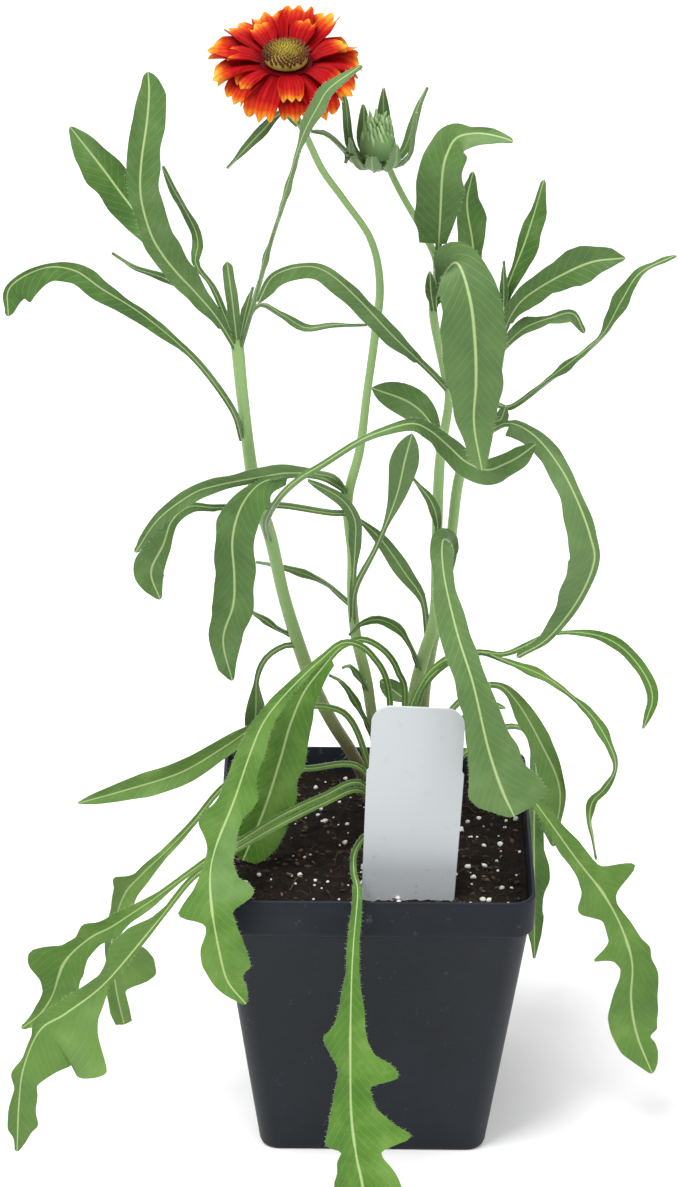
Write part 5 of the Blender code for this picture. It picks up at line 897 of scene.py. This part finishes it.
def grow_ray(sheet, azimuth, length, width, lift, droop, base_height, twist, rng):
    """Wedge ray with three teeth at its tip, ribbed along, that rises and then bends down."""
    flat = bloom_out(azimuth)
    side = BLOOM_AXIS.cross(flat).normalized()
    phase, curl = rng.uniform(0, 6.28), rng.uniform(0.5, 1.4)
    depth = rng.uniform(0.8, 1.2)
    point, last = bloom_place(RING_RADIUS - 0.6, azimuth, base_height), 0.0
    middle, normals, marks = [], [], []
    for share in RAY_BODY * np.arange(RAY_ROWS) / (RAY_ROWS - 1):
        angle = lift - droop * share
        forward = flat * math.cos(angle) + BLOOM_AXIS * math.sin(angle)
        point = point + forward * (share - last) * length
        last = share
        up = (BLOOM_AXIS * math.cos(angle) - flat * math.sin(angle)).normalized()
        half = 0.5 * width * (0.36 + 0.64 * min(1.0, share / 0.55) ** 0.8)
        turn = side * math.cos(twist * share) + up * math.sin(twist * share)
        late = max(0.0, (share - TEETH_FROM) / (RAY_BODY - TEETH_FROM)) ** 1.6
        row, mark = [], []
        for u in np.linspace(-1, 1, RAY_ACROSS):
            tooth = max(0.0, 1 - abs(((u + 1) * 1.5) % 1.0 - 0.5) * 2.0) ** 0.6
            out = tooth * (1.1 if abs(u) < 0.34 else 0.85) * depth * length * TOOTH_LENGTH * late
            pinch = 1 - 0.10 * late * abs(u)
            cup = (0.18 * half * u * u + 0.10 * half * math.cos(2 * math.pi * u)) * min(1.0, share * 3)
            cup += 0.16 * math.cos(9 * u + phase) * share + 0.5 * late * math.sin(5 * u + phase)
            curled = cup - curl * tooth * late * 0.8
            row.append(tuple(point + turn * (u * half * pinch) + up * curled + forward * out))
            mark.append((u, share + 0.14 * tooth * late, phase))
        middle.append(row), marks.append(mark), normals.append([tuple(up)] * RAY_ACROSS)
    middle, marks = np.array(middle), np.array(marks).reshape(-1, 3)
    verts, faces = grid_slab(middle, np.array(normals), np.full(middle.shape[:2], RAY_THICK))
    sheet.add(verts, faces, np.concatenate((marks, marks)), rng.random())


def build_rays(materials, rng):
    """Ray florets in two layers, on the ring under the disc."""
    sheet = Sheet()
    spin(sheet, BLOOM_CENTRE, BLOOM_AXIS, RIGHT, RAY_RING_PROFILE, 36, 0.0)
    for layer, (count, length, width) in enumerate(RAY_LAYERS):
        for k in range(count):
            azimuth = 2 * math.pi * (k + 0.37 * layer + rng.uniform(-0.12, 0.12)) / count
            back = math.sin(azimuth)
            lift = RAY_LIFT + BACK_LIFT * max(0, back) + INNER_LIFT * layer + rng.uniform(-5, 5)
            droop = RAY_DROOP + FRONT_DROOP * max(0, -back) - BACK_HOLD * max(0, back) + rng.uniform(-8, 8)
            grow_ray(sheet, azimuth, length * rng.uniform(0.93, 1.05), width, math.radians(lift),
                     math.radians(droop), -0.4 + 0.45 * layer + 0.25 * (k % 2),
                     rng.uniform(-0.25, 0.25), rng)
    sheet.build("ray_florets", materials, "rays", "bloom_rays")


def add_floret(sheet, base, direction, profile, tint):
    """Small six-sided floret along a direction."""
    side = direction.cross(Vector((0.3, 0.5, 0.8))).normalized()
    spin(sheet, base, direction, side, profile, 6, tint)


def build_disc(materials, rng):
    """Disc of many small florets in a spiral, whose tint runs from 0 in the middle to 1 at the rim."""
    sheet = Sheet()
    centre = BLOOM_CENTRE + BLOOM_AXIS * DISC_LIFT
    spin(sheet, centre, BLOOM_AXIS, RIGHT, scaled(DOME_PROFILE, DISC_RADIUS, DISC_HEIGHT), 32, 0.5)
    for k in range(DISC_FLORETS):
        share = math.sqrt((k + 0.5) / DISC_FLORETS)
        flat = bloom_out(k * SPIRAL_TURN)
        height = DISC_HEIGHT * math.sqrt(max(0.05, 1 - (FLORETS_REACH * share) ** 2))
        base = centre + flat * DISC_RADIUS * FLORETS_REACH * share + BLOOM_AXIS * (height - 0.7)
        direction = (BLOOM_AXIS + flat * (0.5 * share + rng.uniform(-0.1, 0.1))).normalized()
        length = (0.9 + 1.0 * share ** 2) * rng.uniform(0.9, 1.15) + 0.5
        add_floret(sheet, base, direction, scaled(FLORET_PROFILE, FLORET_RADIUS, length), share)
    sheet.build("disc_florets", materials, "disc", "bloom_disc")


def build_bud(materials, rng):
    """Closed head of the bud with pale young florets curving inward."""
    sheet = Sheet()
    dome = scaled(DOME_PROFILE, BUD_RADIUS, BUD_HEIGHT)
    spin(sheet, BUD_CENTRE - UP * BUD_DROP, UP, RIGHT, dome, 32, 0.2)
    for k in range(BUD_FLORETS):
        share = math.sqrt((k + 0.8) / BUD_FLORETS)
        out = bud_out(k * SPIRAL_TURN)
        base = BUD_CENTRE + out * BUD_RADIUS * 0.9 * share + UP * (3.4 - 5.2 * share * share)
        lean = UP + out * (0.35 - 0.5 * share) + out.cross(UP) * 0.3
        profile = scaled(YOUNG_FLORET_PROFILE, YOUNG_FLORET_RADIUS, rng.uniform(3.0, 4.6))
        add_floret(sheet, base, lean.normalized(), profile, rng.uniform(0.4, 1.0))
    sheet.build("bud_head", materials, "young_florets", "bud_florets")


def rounded_square(half, radius, z):
    """Ring of places round a square with rounded corners."""
    ring = []
    for corner, (sx, sy) in enumerate(((1, 1), (-1, 1), (-1, -1), (1, -1))):
        for k in range(CORNER_STEPS):
            angle = math.pi / 2 * (corner + k / (CORNER_STEPS - 1))
            ring.append((sx * (half - radius) + radius * math.cos(angle),
                         sy * (half - radius) + radius * math.sin(angle), z))
    return ring


def build_pot(materials):
    """Thin square pot with smooth corners, a rim band and drain holes."""
    base, body, rim = POT_BASE_HALF, POT_BODY_HALF, POT_RIM_HALF
    low, mid, top = POT_BASE_RADIUS, POT_RIM_RADIUS - 0.8, POT_RIM_RADIUS
    band = POT_HEIGHT - RIM_BAND
    taper = (body - base) / band
    sheet = Sheet()
    ring_loft(sheet, [rounded_square(half, radius, z) for half, radius, z in (
        (base - 0.9, low - 0.7, 0), (base - 0.35, low - 0.2, 0.15), (base - 0.1, low, 0.6),
        (base + taper * 1.5, low, 1.5), (body - 0.1, mid, band - 0.6), (body + 0.15, mid, band - 0.1),
        (rim - 0.5, top, band + 0.1), (rim - 0.15, top, band + 0.45), (rim - 0.05, top, band + 1.2),
        (rim, top, POT_HEIGHT - 0.8), (rim - 0.15, top - 0.1, POT_HEIGHT - 0.25),
        (rim - 0.5, top - 0.4, POT_HEIGHT), (rim - 1.0, top - 0.9, POT_HEIGHT - 0.05),
        (rim - WALL - 0.1, top - WALL, POT_HEIGHT - 0.5), (rim - WALL - 0.3, top - WALL, band + 2.0),
        (body - WALL, mid - WALL, band - 1.0),
        (base + taper * POT_FLOOR - WALL, low - WALL, POT_FLOOR))], 0.0)
    pot = sheet.build("nursery_pot", materials, "pot", "pot", SMOOTH_POT)
    drains = []
    for sx, sy in ((1, 1), (-1, 1), (-1, -1), (1, -1)):
        at = (sx * DRAIN_OFFSET * MM, sy * DRAIN_OFFSET * MM, 0)
        bpy.ops.mesh.primitive_cylinder_add(vertices=DRAIN_SIDES, radius=DRAIN_RADIUS * MM,
                                            depth=8 * MM, location=at)
        drain = bpy.context.object
        step = pot.modifiers.new("drain", "BOOLEAN")
        step.operation, step.object, step.solver = "DIFFERENCE", drain, "EXACT"
        drains.append(drain)
    bpy.context.view_layer.update()
    mesh = bpy.data.meshes.new_from_object(pot.evaluated_get(bpy.context.evaluated_depsgraph_get()))
    pot.modifiers.clear()
    pot.data = mesh
    for drain in drains:
        bpy.data.objects.remove(drain)


def soil_height(x, y):
    """Height of the soil's skin above the base, lumpy at three sizes and a little raised at the stems."""
    here = mm(x, y, 0)
    lumps = (1.0 * noise.noise(here * 0.11) + 0.75 * noise.noise(here * 0.33 + Vector((9, 3, 1)))
             + 0.5 * noise.noise(here * 0.9 + Vector((2, 7, 4))))
    away = math.dist((x, y), MOUND_PLACE)
    return SOIL_TOP + SKIN_RISE + lumps * LUMP_HEIGHT + MOUND_HEIGHT * math.exp(-away ** 2 / MOUND_SPREAD)


def build_skin(material):
    """Lumpy skin of potting soil on top of the soil's solid."""
    count, radius = SKIN_PLACES, POT_RIM_RADIUS - WALL
    straight = SOIL_HALF - radius
    verts, faces = [], []
    for i in range(count):
        for j in range(count):
            x, y = (SOIL_HALF * (2 * k / (count - 1) - 1) for k in (i, j))
            cx, cy = max(abs(x) - straight, 0), max(abs(y) - straight, 0)
            past = math.hypot(cx, cy)
            if past > radius:
                x = math.copysign(straight + cx * radius / past, x)
                y = math.copysign(straight + cy * radius / past, y)
            verts.append((x, y, soil_height(x, y)))
    for i in range(count - 1):
        for a in range(i * count, i * count + count - 1):
            faces.append((a, a + count, a + count + 1, a + 1))
    rim, low = grid_rim(count, count), len(verts)
    marks = [(x, y, 0.0) for x, y, _ in verts] + [(0.0, 0.0, 0.0)] * len(rim)
    verts += [(verts[k][0], verts[k][1], SOIL_TOP - 1.0) for k in rim]
    for k in range(len(rim)):
        n = (k + 1) % len(rim)
        faces.append((rim[k], rim[n], low + n, low + k))
    faces.append(tuple(low + k for k in range(len(rim))))
    sheet = Sheet()
    sheet.add(verts, faces, marks, 0.0)
    sheet.build("soil_skin", [material], "soil")


def somewhere(margin, rng):
    """A place on the soil, so far in from the pot's wall."""
    reach = SOIL_HALF - margin
    return rng.uniform(-reach, reach), rng.uniform(-reach, reach)


def build_crumbs(perlite, bark, rng):
    """White perlite, bits of bark and thin fibres on the soil."""
    grains, bits = Sheet(), Sheet()
    for _ in range(PERLITE_GRAINS):
        x, y = somewhere(1.5, rng)
        size = rng.choice(PERLITE_SIZES)
        add_lump(grains, mm(x, y, soil_height(x, y) + 0.35 * size), size, rng, 0.72, (1, 1, 0.8))
    for _ in range(BARK_CHIPS):
        x, y = somewhere(2, rng)
        size = rng.uniform(*BARK_SIZES)
        add_lump(bits, mm(x, y, soil_height(x, y) + 0.1), size, rng, rng.random(),
                 (1.0, rng.uniform(0.25, 0.7), rng.uniform(0.25, 0.5)))
    for _ in range(FIBRES):
        x, y = somewhere(4, rng)
        turn = rng.uniform(0, math.pi)
        reach, high = rng.uniform(*FIBRE_REACHES), soil_height(x, y) + 0.35
        line = np.array([(x + t * reach * math.cos(turn), y + t * reach * math.sin(turn),
                          high + 0.5 * math.sin(3 * t) - 0.3 * t * t) for t in (-1, -0.5, 0, 0.5, 1)])
        grow_tube(bits, line, [FIBRE_RADIUS] * 5, 5, rng.random())
    grains.build("perlite", [perlite], "soil")
    bits.build("bark_bits", [bark], "soil")


def add_lump(sheet, centre, size, rng, tint, shape):
    """Small uneven stone or chip, turned any way about the upright."""
    work = bmesh.new()
    bmesh.ops.create_icosphere(work, subdivisions=1, radius=1.0)
    turn = Matrix.Rotation(rng.uniform(0, 6.28), 3, "Z") @ Matrix.Rotation(rng.uniform(-0.5, 0.5), 3, "X")
    verts = []
    for v in work.verts:
        rough = v.co * rng.uniform(0.75, 1.15)
        verts.append(centre + turn @ Vector([c * size * s for c, s in zip(rough, shape)]))
    faces = [[v.index for v in f.verts] for f in work.faces]
    work.free()
    sheet.add(verts, faces, [(0, 0, 0)] * len(verts), tint)


def build_label(materials):
    """Bare white tag with softened edges."""
    lean = LABEL_TOP - LABEL_FOOT
    height, rise = lean.length, lean.normalized()
    front = Vector((0, -rise.z, rise.y)).normalized()
    right = rise.cross(front)
    right *= math.copysign(1, right.x)
    r, shoulder = LABEL_CORNER, height - LABEL_SHOULDER
    rings = []
    for side, inset in ((-1.0, LABEL_BEVEL), (-0.6, 0.0), (0.6, 0.0), (1.0, LABEL_BEVEL)):
        half, neck = LABEL_WIDTH / 2 - inset, LABEL_NECK / 2 - inset
        outline = [(inset - LABEL_TIP_HALF, inset), (LABEL_TIP_HALF - inset, inset),
                   (half - 0.6, LABEL_TIP_RISE), (half, shoulder), (neck, shoulder + 0.8)]
        outline += [(neck - r + r * math.cos(a), height - inset - r + r * math.sin(a))
                    for a in [math.radians(5 * k) for k in range(1, 19)]]
        outline += [(-u, v) for u, v in reversed(outline[2:])]
        rings.append([tuple(LABEL_FOOT + right * u + rise * v + front * (side * LABEL_THICK / 2))
                      for u, v in outline])
    sheet = Sheet()
    ring_loft(sheet, rings, 0.0)
    sheet.build("plant_label", materials, "label", "label", SMOOTH_LABEL)


class Look:
    """A principled material, with short names for the nodes that its colour is worked out by.

    A value is a number, a colour or the output of another node. Gloss is the shader's own default
    unless given.
    """

    def __init__(self, name, rough, gloss=0.5):
        self.mat = bpy.data.materials.new(name)
        self.mat.use_nodes = True
        self.tree = self.mat.node_tree
        self.shader = self.tree.nodes["Principled BSDF"]
        self.shade("Roughness", rough)
        self.shade("Specular IOR Level", gloss)

    def put(self, socket, value):
        """Give an input its value."""
        if isinstance(value, bpy.types.NodeSocket):
            self.tree.links.new(value, socket)
        else:
            socket.default_value = (*value, 1) if isinstance(value, tuple) else value

    def shade(self, name, value):
        """Give the shader's input its value."""
        self.put(self.shader.inputs[name], value)

    def node(self, kind, values, **settings):
        """New node with its settings and the values of its inputs."""
        made = self.tree.nodes.new(kind)
        for key, setting in settings.items():
            setattr(made, key, setting)
        for key, value in values.items():
            self.put(made.inputs[key], value)
        return made

    def step(self, operation, first, second=0.0, clamp=False):
        """One step of arithmetic, kept between 0 and 1 where clamp is set."""
        made = self.node("ShaderNodeMath", {0: first, 1: second}, operation=operation, use_clamp=clamp)
        return made.outputs[0]

    def add(self, first, second):
        """Sum of two values."""
        return self.step("ADD", first, second)

    def less(self, first, second, clamp=False):
        """First value less the second."""
        return self.step("SUBTRACT", first, second, clamp)

    def times(self, first, second, clamp=False):
        """Product of two values."""
        return self.step("MULTIPLY", first, second, clamp)

    def mix(self, share, first, second, blend="MIX"):
        """Mix of two colours."""
        values = {0: share, 6: first, 7: second}
        return self.node("ShaderNodeMix", values, data_type="RGBA", blend_type=blend).outputs[2]

    def ramp(self, value, stops):
        """Colour ramp over a value; stops are (position, colour)."""
        made = self.node("ShaderNodeValToRGB", {0: value})
        while len(made.color_ramp.elements) < len(stops):
            made.color_ramp.elements.new(0.5)
        for element, (position, colour) in zip(made.color_ramp.elements, stops):
            element.position, element.color = position, (*colour, 1)
        return made.outputs[0]

    def place(self):
        """The object's own coordinates."""
        return self.node("ShaderNodeTexCoord", {}).outputs["Object"]

    def noise(self, scale, detail=4.0, rough=0.6):
        """Noise over the object's own coordinates."""
        values = {"Vector": self.place(), "Scale": scale, "Detail": detail, "Roughness": rough}
        return self.node("ShaderNodeTexNoise", values).outputs["Fac"]

    def split(self, vector):
        """The three parts of a vector."""
        return tuple(self.node("ShaderNodeSeparateXYZ", {0: vector}).outputs)

    def marks(self):
        """The three numbers that a piece's mesh carries at each point, and its tint."""
        mark = self.node("ShaderNodeAttribute", {}, attribute_name="mark")
        kind = self.node("ShaderNodeAttribute", {}, attribute_name="kind")
        return self.split(mark.outputs["Vector"]) + (kind.outputs["Fac"],)

    def bump(self, height, strength, distance=0.0003):
        """Bump from a height, in metres."""
        made = self.node("ShaderNodeBump", {"Strength": strength, "Distance": distance, "Height": height})
        self.shade("Normal", made.outputs[0])


def leaf_material(name, dark, mid, pale):
    """Leaf: mottled green, pale midrib and side veins, paler and duller beneath."""
    look = Look(name, 0.52, 0.30)
    x, run, half, tint = look.marks()
    away, width = look.step("ABSOLUTE", x), look.step("ABSOLUTE", half)
    under = look.step("LESS_THAN", half, 0.0)
    mottle, patches = look.noise(130.0), look.noise(28.0, 2.0)
    green = look.ramp(look.add(look.times(mottle, 0.45), look.times(patches, 0.55)),
                      ((0.30, dark), (0.52, mid), (0.74, pale)))
    green = look.mix(look.times(tint, 0.4), green, tuple(0.85 * c + 0.03 for c in pale))
    rib_width = look.add(look.times(width, 0.045), 0.16)
    rib = look.less(1.0, look.step("DIVIDE", away, rib_width), True)
    phase = look.add(look.less(run, look.times(away, 1.25)), look.times(mottle, 1.6))
    wave = look.step("SINE", look.times(phase, 2.1))
    vein = look.times(look.less(wave, 0.82, True), 4.0, True)
    colour = look.mix(look.times(vein, 0.32), green, (0.17, 0.28, 0.10))
    colour = look.mix(look.times(rib, 1.5, True), colour, (0.33, 0.43, 0.18))
    colour = look.mix(look.times(under, 0.45), colour, (0.17, 0.25, 0.13))
    look.shade("Base Color", colour)
    look.shade("Sheen Weight", 0.06)
    look.shade("Sheen Roughness", 0.4)
    look.bump(look.less(mottle, look.times(vein, 0.5)), 0.5)
    return look.mat


def stem_material():
    """Stem: light green above, reddish brown near the soil."""
    look = Look("stem_skin", 0.55)
    height, speckle = look.marks()[1], look.noise(420.0)
    share = look.times(look.less(height, 84.0), 1 / 80.0)
    share = look.add(share, look.times(speckle, 0.18))
    colour = look.ramp(share, ((0.0, (0.13, 0.075, 0.045)), (0.30, (0.20, 0.14, 0.07)),
                               (0.62, (0.22, 0.30, 0.10)), (1.0, (0.21, 0.36, 0.11))))
    look.shade("Base Color", look.mix(look.times(speckle, 0.25), colour, (0.34, 0.44, 0.24)))
    look.bump(speckle, 0.4)
    return look.mat


def hair_material():
    """Pale hairs."""
    look = Look("pale_hair", 0.6)
    look.shade("Base Color", (0.62, 0.68, 0.52))
    return look.mat


def ray_material():
    """Ray florets: deep red with darker streaks, orange then yellow at the teeth."""
    look = Look("ray_petal", 0.5, 0.04)
    u, share, phase, tint = look.marks()
    fine, broad = look.noise(600.0), look.noise(150.0)
    edge = look.add(share, look.times(look.less(broad, 0.5), 0.34))
    edge = look.add(edge, look.times(look.less(tint, 0.5), 0.12))
    colour = look.ramp(edge, ((0.0, (0.10, 0.001, 0.003)), (0.22, (0.24, 0.002, 0.004)),
                              (0.64, (0.34, 0.005, 0.006)), (0.80, (0.50, 0.045, 0.008)),
                              (0.90, (0.66, 0.22, 0.02)), (1.0, (0.72, 0.40, 0.05))))
    streak = look.step("SINE", look.add(look.times(u, 22.0), phase))
    streak = look.times(look.add(streak, fine), 0.22, True)
    look.shade("Base Color", look.mix(streak, colour, (0.22, 0.006, 0.006), "MULTIPLY"))
    look.bump(look.add(streak, fine), 0.35)
    return look.mat


def disc_material():
    """Disc florets: yellow green in the middle, olive brown at the rim."""
    look = Look("disc_floret", 0.7)
    share = look.add(look.marks()[3], look.times(look.less(look.noise(900.0), 0.5), 0.3))
    colour = look.ramp(share, ((0.0, (0.36, 0.30, 0.03)), (0.45, (0.28, 0.21, 0.02)),
                               (0.75, (0.17, 0.085, 0.012)), (1.0, (0.10, 0.022, 0.008))))
    look.shade("Base Color", colour)
    return look.mat


def bud_material():
    """Young florets: pale green."""
    look = Look("young_floret", 0.6)
    colour = look.ramp(look.marks()[3], ((0.0, (0.12, 0.24, 0.08)), (0.6, (0.26, 0.42, 0.17)),
                                         (1.0, (0.44, 0.58, 0.30))))
    look.shade("Base Color", colour)
    return look.mat


def pot_material():
    """Slate black plastic with a fine grain, broad faint patches and a few pale scuffs."""
    look = Look("pot_plastic", 0.42, 0.14)
    broad, fine = look.noise(22.0, 5.0, 0.65), look.noise(900.0, 2.0)
    scuffs = look.times(look.less(look.noise(260.0, 3.0, 0.7), 0.66, True), 6.0, True)
    colour = look.ramp(broad, ((0.30, (0.007, 0.009, 0.012)), (0.60, (0.012, 0.015, 0.020)),
                               (0.85, (0.024, 0.028, 0.035))))
    look.shade("Base Color", look.mix(look.times(scuffs, 0.22), colour, (0.22, 0.23, 0.25)))
    look.shade("Roughness", look.add(look.times(broad, 0.25), 0.34))
    look.bump(fine, 0.25, 0.0002)
    return look.mat


def soil_material():
    """Dark potting soil."""
    look = Look("potting_soil", 0.95, 0.15)
    fine, broad = look.noise(480.0, 6.0, 0.75), look.noise(90.0, 4.0)
    share = look.add(look.times(fine, 0.7), look.times(broad, 0.3))
    colour = look.ramp(share, ((0.32, (0.003, 0.002, 0.002)), (0.52, (0.010, 0.007, 0.005)),
                               (0.66, (0.030, 0.018, 0.011)), (0.80, (0.080, 0.050, 0.032))))
    look.shade("Base Color", colour)
    look.bump(share, 1.0, 0.0012)
    return look.mat


def perlite_material():
    """Off-white grains."""
    look = Look("perlite_grain", 0.9)
    colour = look.ramp(look.noise(700.0), ((0.3, (0.42, 0.40, 0.37)), (0.6, (0.75, 0.74, 0.71))))
    look.shade("Base Color", colour)
    return look.mat


def bark_material():
    """Bark chips, most of them dark and a few pale."""
    look = Look("bark_chip", 0.9)
    colour = look.ramp(look.marks()[3], ((0.0, (0.006, 0.004, 0.003)), (0.6, (0.026, 0.014, 0.008)),
                                         (0.9, (0.075, 0.040, 0.022)), (1.0, (0.16, 0.10, 0.06))))
    look.shade("Base Color", colour)
    return look.mat


def label_material():
    """White plastic with faint dirt toward the soil."""
    look = Look("label_plastic", 0.38)
    height, spots = look.split(look.place())[2], look.noise(330.0, 5.0, 0.75)
    low = look.less(1.0, look.times(look.less(height, 0.084), 55.0), True)
    dirt = look.times(look.less(spots, 0.60, True), look.add(look.times(low, 5.0), 1.3), True)
    look.shade("Base Color", look.mix(dirt, (0.45, 0.475, 0.49), (0.14, 0.12, 0.10)))
    return look.mat


def build_camera():
    """Camera where the picture was taken from."""
    camera = bpy.data.cameras.new("camera")
    camera.sensor_fit, camera.sensor_height = "VERTICAL", SENSOR
    camera.lens = FOCAL / PICTURE_HEIGHT * SENSOR
    camera.clip_start, camera.clip_end = 0.05, 30
    eye = bpy.data.objects.new("camera", camera)
    bpy.context.scene.collection.objects.link(eye)
    turn = Matrix.Rotation(math.radians(90) - LOOK_DOWN, 4, "X") @ Matrix.Rotation(-PICTURE_ROLL, 4, "Z")
    turn.translation = Vector(EYE * MM)
    eye.matrix_world = turn
    bpy.context.scene.camera = eye


def add_light(name, at, size, power):
    """Square white area light that looks at the plant."""
    light = bpy.data.lights.new(name, "AREA")
    light.shape, light.size, light.energy = "SQUARE", size, power
    obj = bpy.data.objects.new(name, light)
    bpy.context.scene.collection.objects.link(obj)
    obj.location = at
    obj.rotation_euler = (LIT_PLACE - Vector(at)).to_track_quat("-Z", "Y").to_euler()


def build_stage():
    """Pale floor, soft light from above, the right and behind, and a white sky."""
    bpy.ops.mesh.primitive_plane_add(size=FLOOR_SIZE, location=(0, 0, 0))
    floor = bpy.context.object
    floor.name = "floor"
    look = Look("floor_white", 0.9, 0.1)
    look.shade("Base Color", (0.92, 0.92, 0.92))
    floor.data.materials.append(look.mat)
    world = bpy.data.worlds.new("sky")
    world.use_nodes = True
    sky = world.node_tree.nodes["Background"].inputs
    sky["Color"].default_value, sky["Strength"].default_value = (1, 1, 1, 1), SKY_STRENGTH
    bpy.context.scene.world = world
    for light in LIGHTS:
        add_light(*light)
    bpy.context.scene.view_settings.view_transform = "Standard"


def main():
    """Build every piece, in the order that the random draws need."""
    build_camera()
    build_stage()
    rng = random.Random(SEED)
    high = leaf_material("leaf_green", *HIGH_GREENS)
    low = leaf_material("leaf_low_green", *LOW_GREENS)
    skin, hair = stem_material(), hair_material()
    for name, specs in LEAVES.items():
        sheet, hairs = Sheet(), Sheet()
        for spec in specs:
            grow_leaf(sheet, spec, rng.random(), hairs, rng)
        if name == "rosette":
            grow_crown(sheet)
        else:
            grow_stem(sheet, name, hairs, rng)
        if name == "bloom_stem":
            grow_calyx(sheet, hairs, rng)
        if name == "bud_stem":
            grow_bud_bracts(sheet, hairs, rng)
        sheet.build(name + "_leaves", [low if name == "rosette" else high, skin], "leafy", name)
        hairs.build(name + "_hairs", [hair], "leafy")
    build_rays([ray_material()], rng)
    build_disc([disc_material()], rng)
    build_bud([bud_material()], rng)
    build_pot([pot_material()])
    build_skin(soil_material())
    build_crumbs(perlite_material(), bark_material(), rng)
    build_label([label_material()])


main()
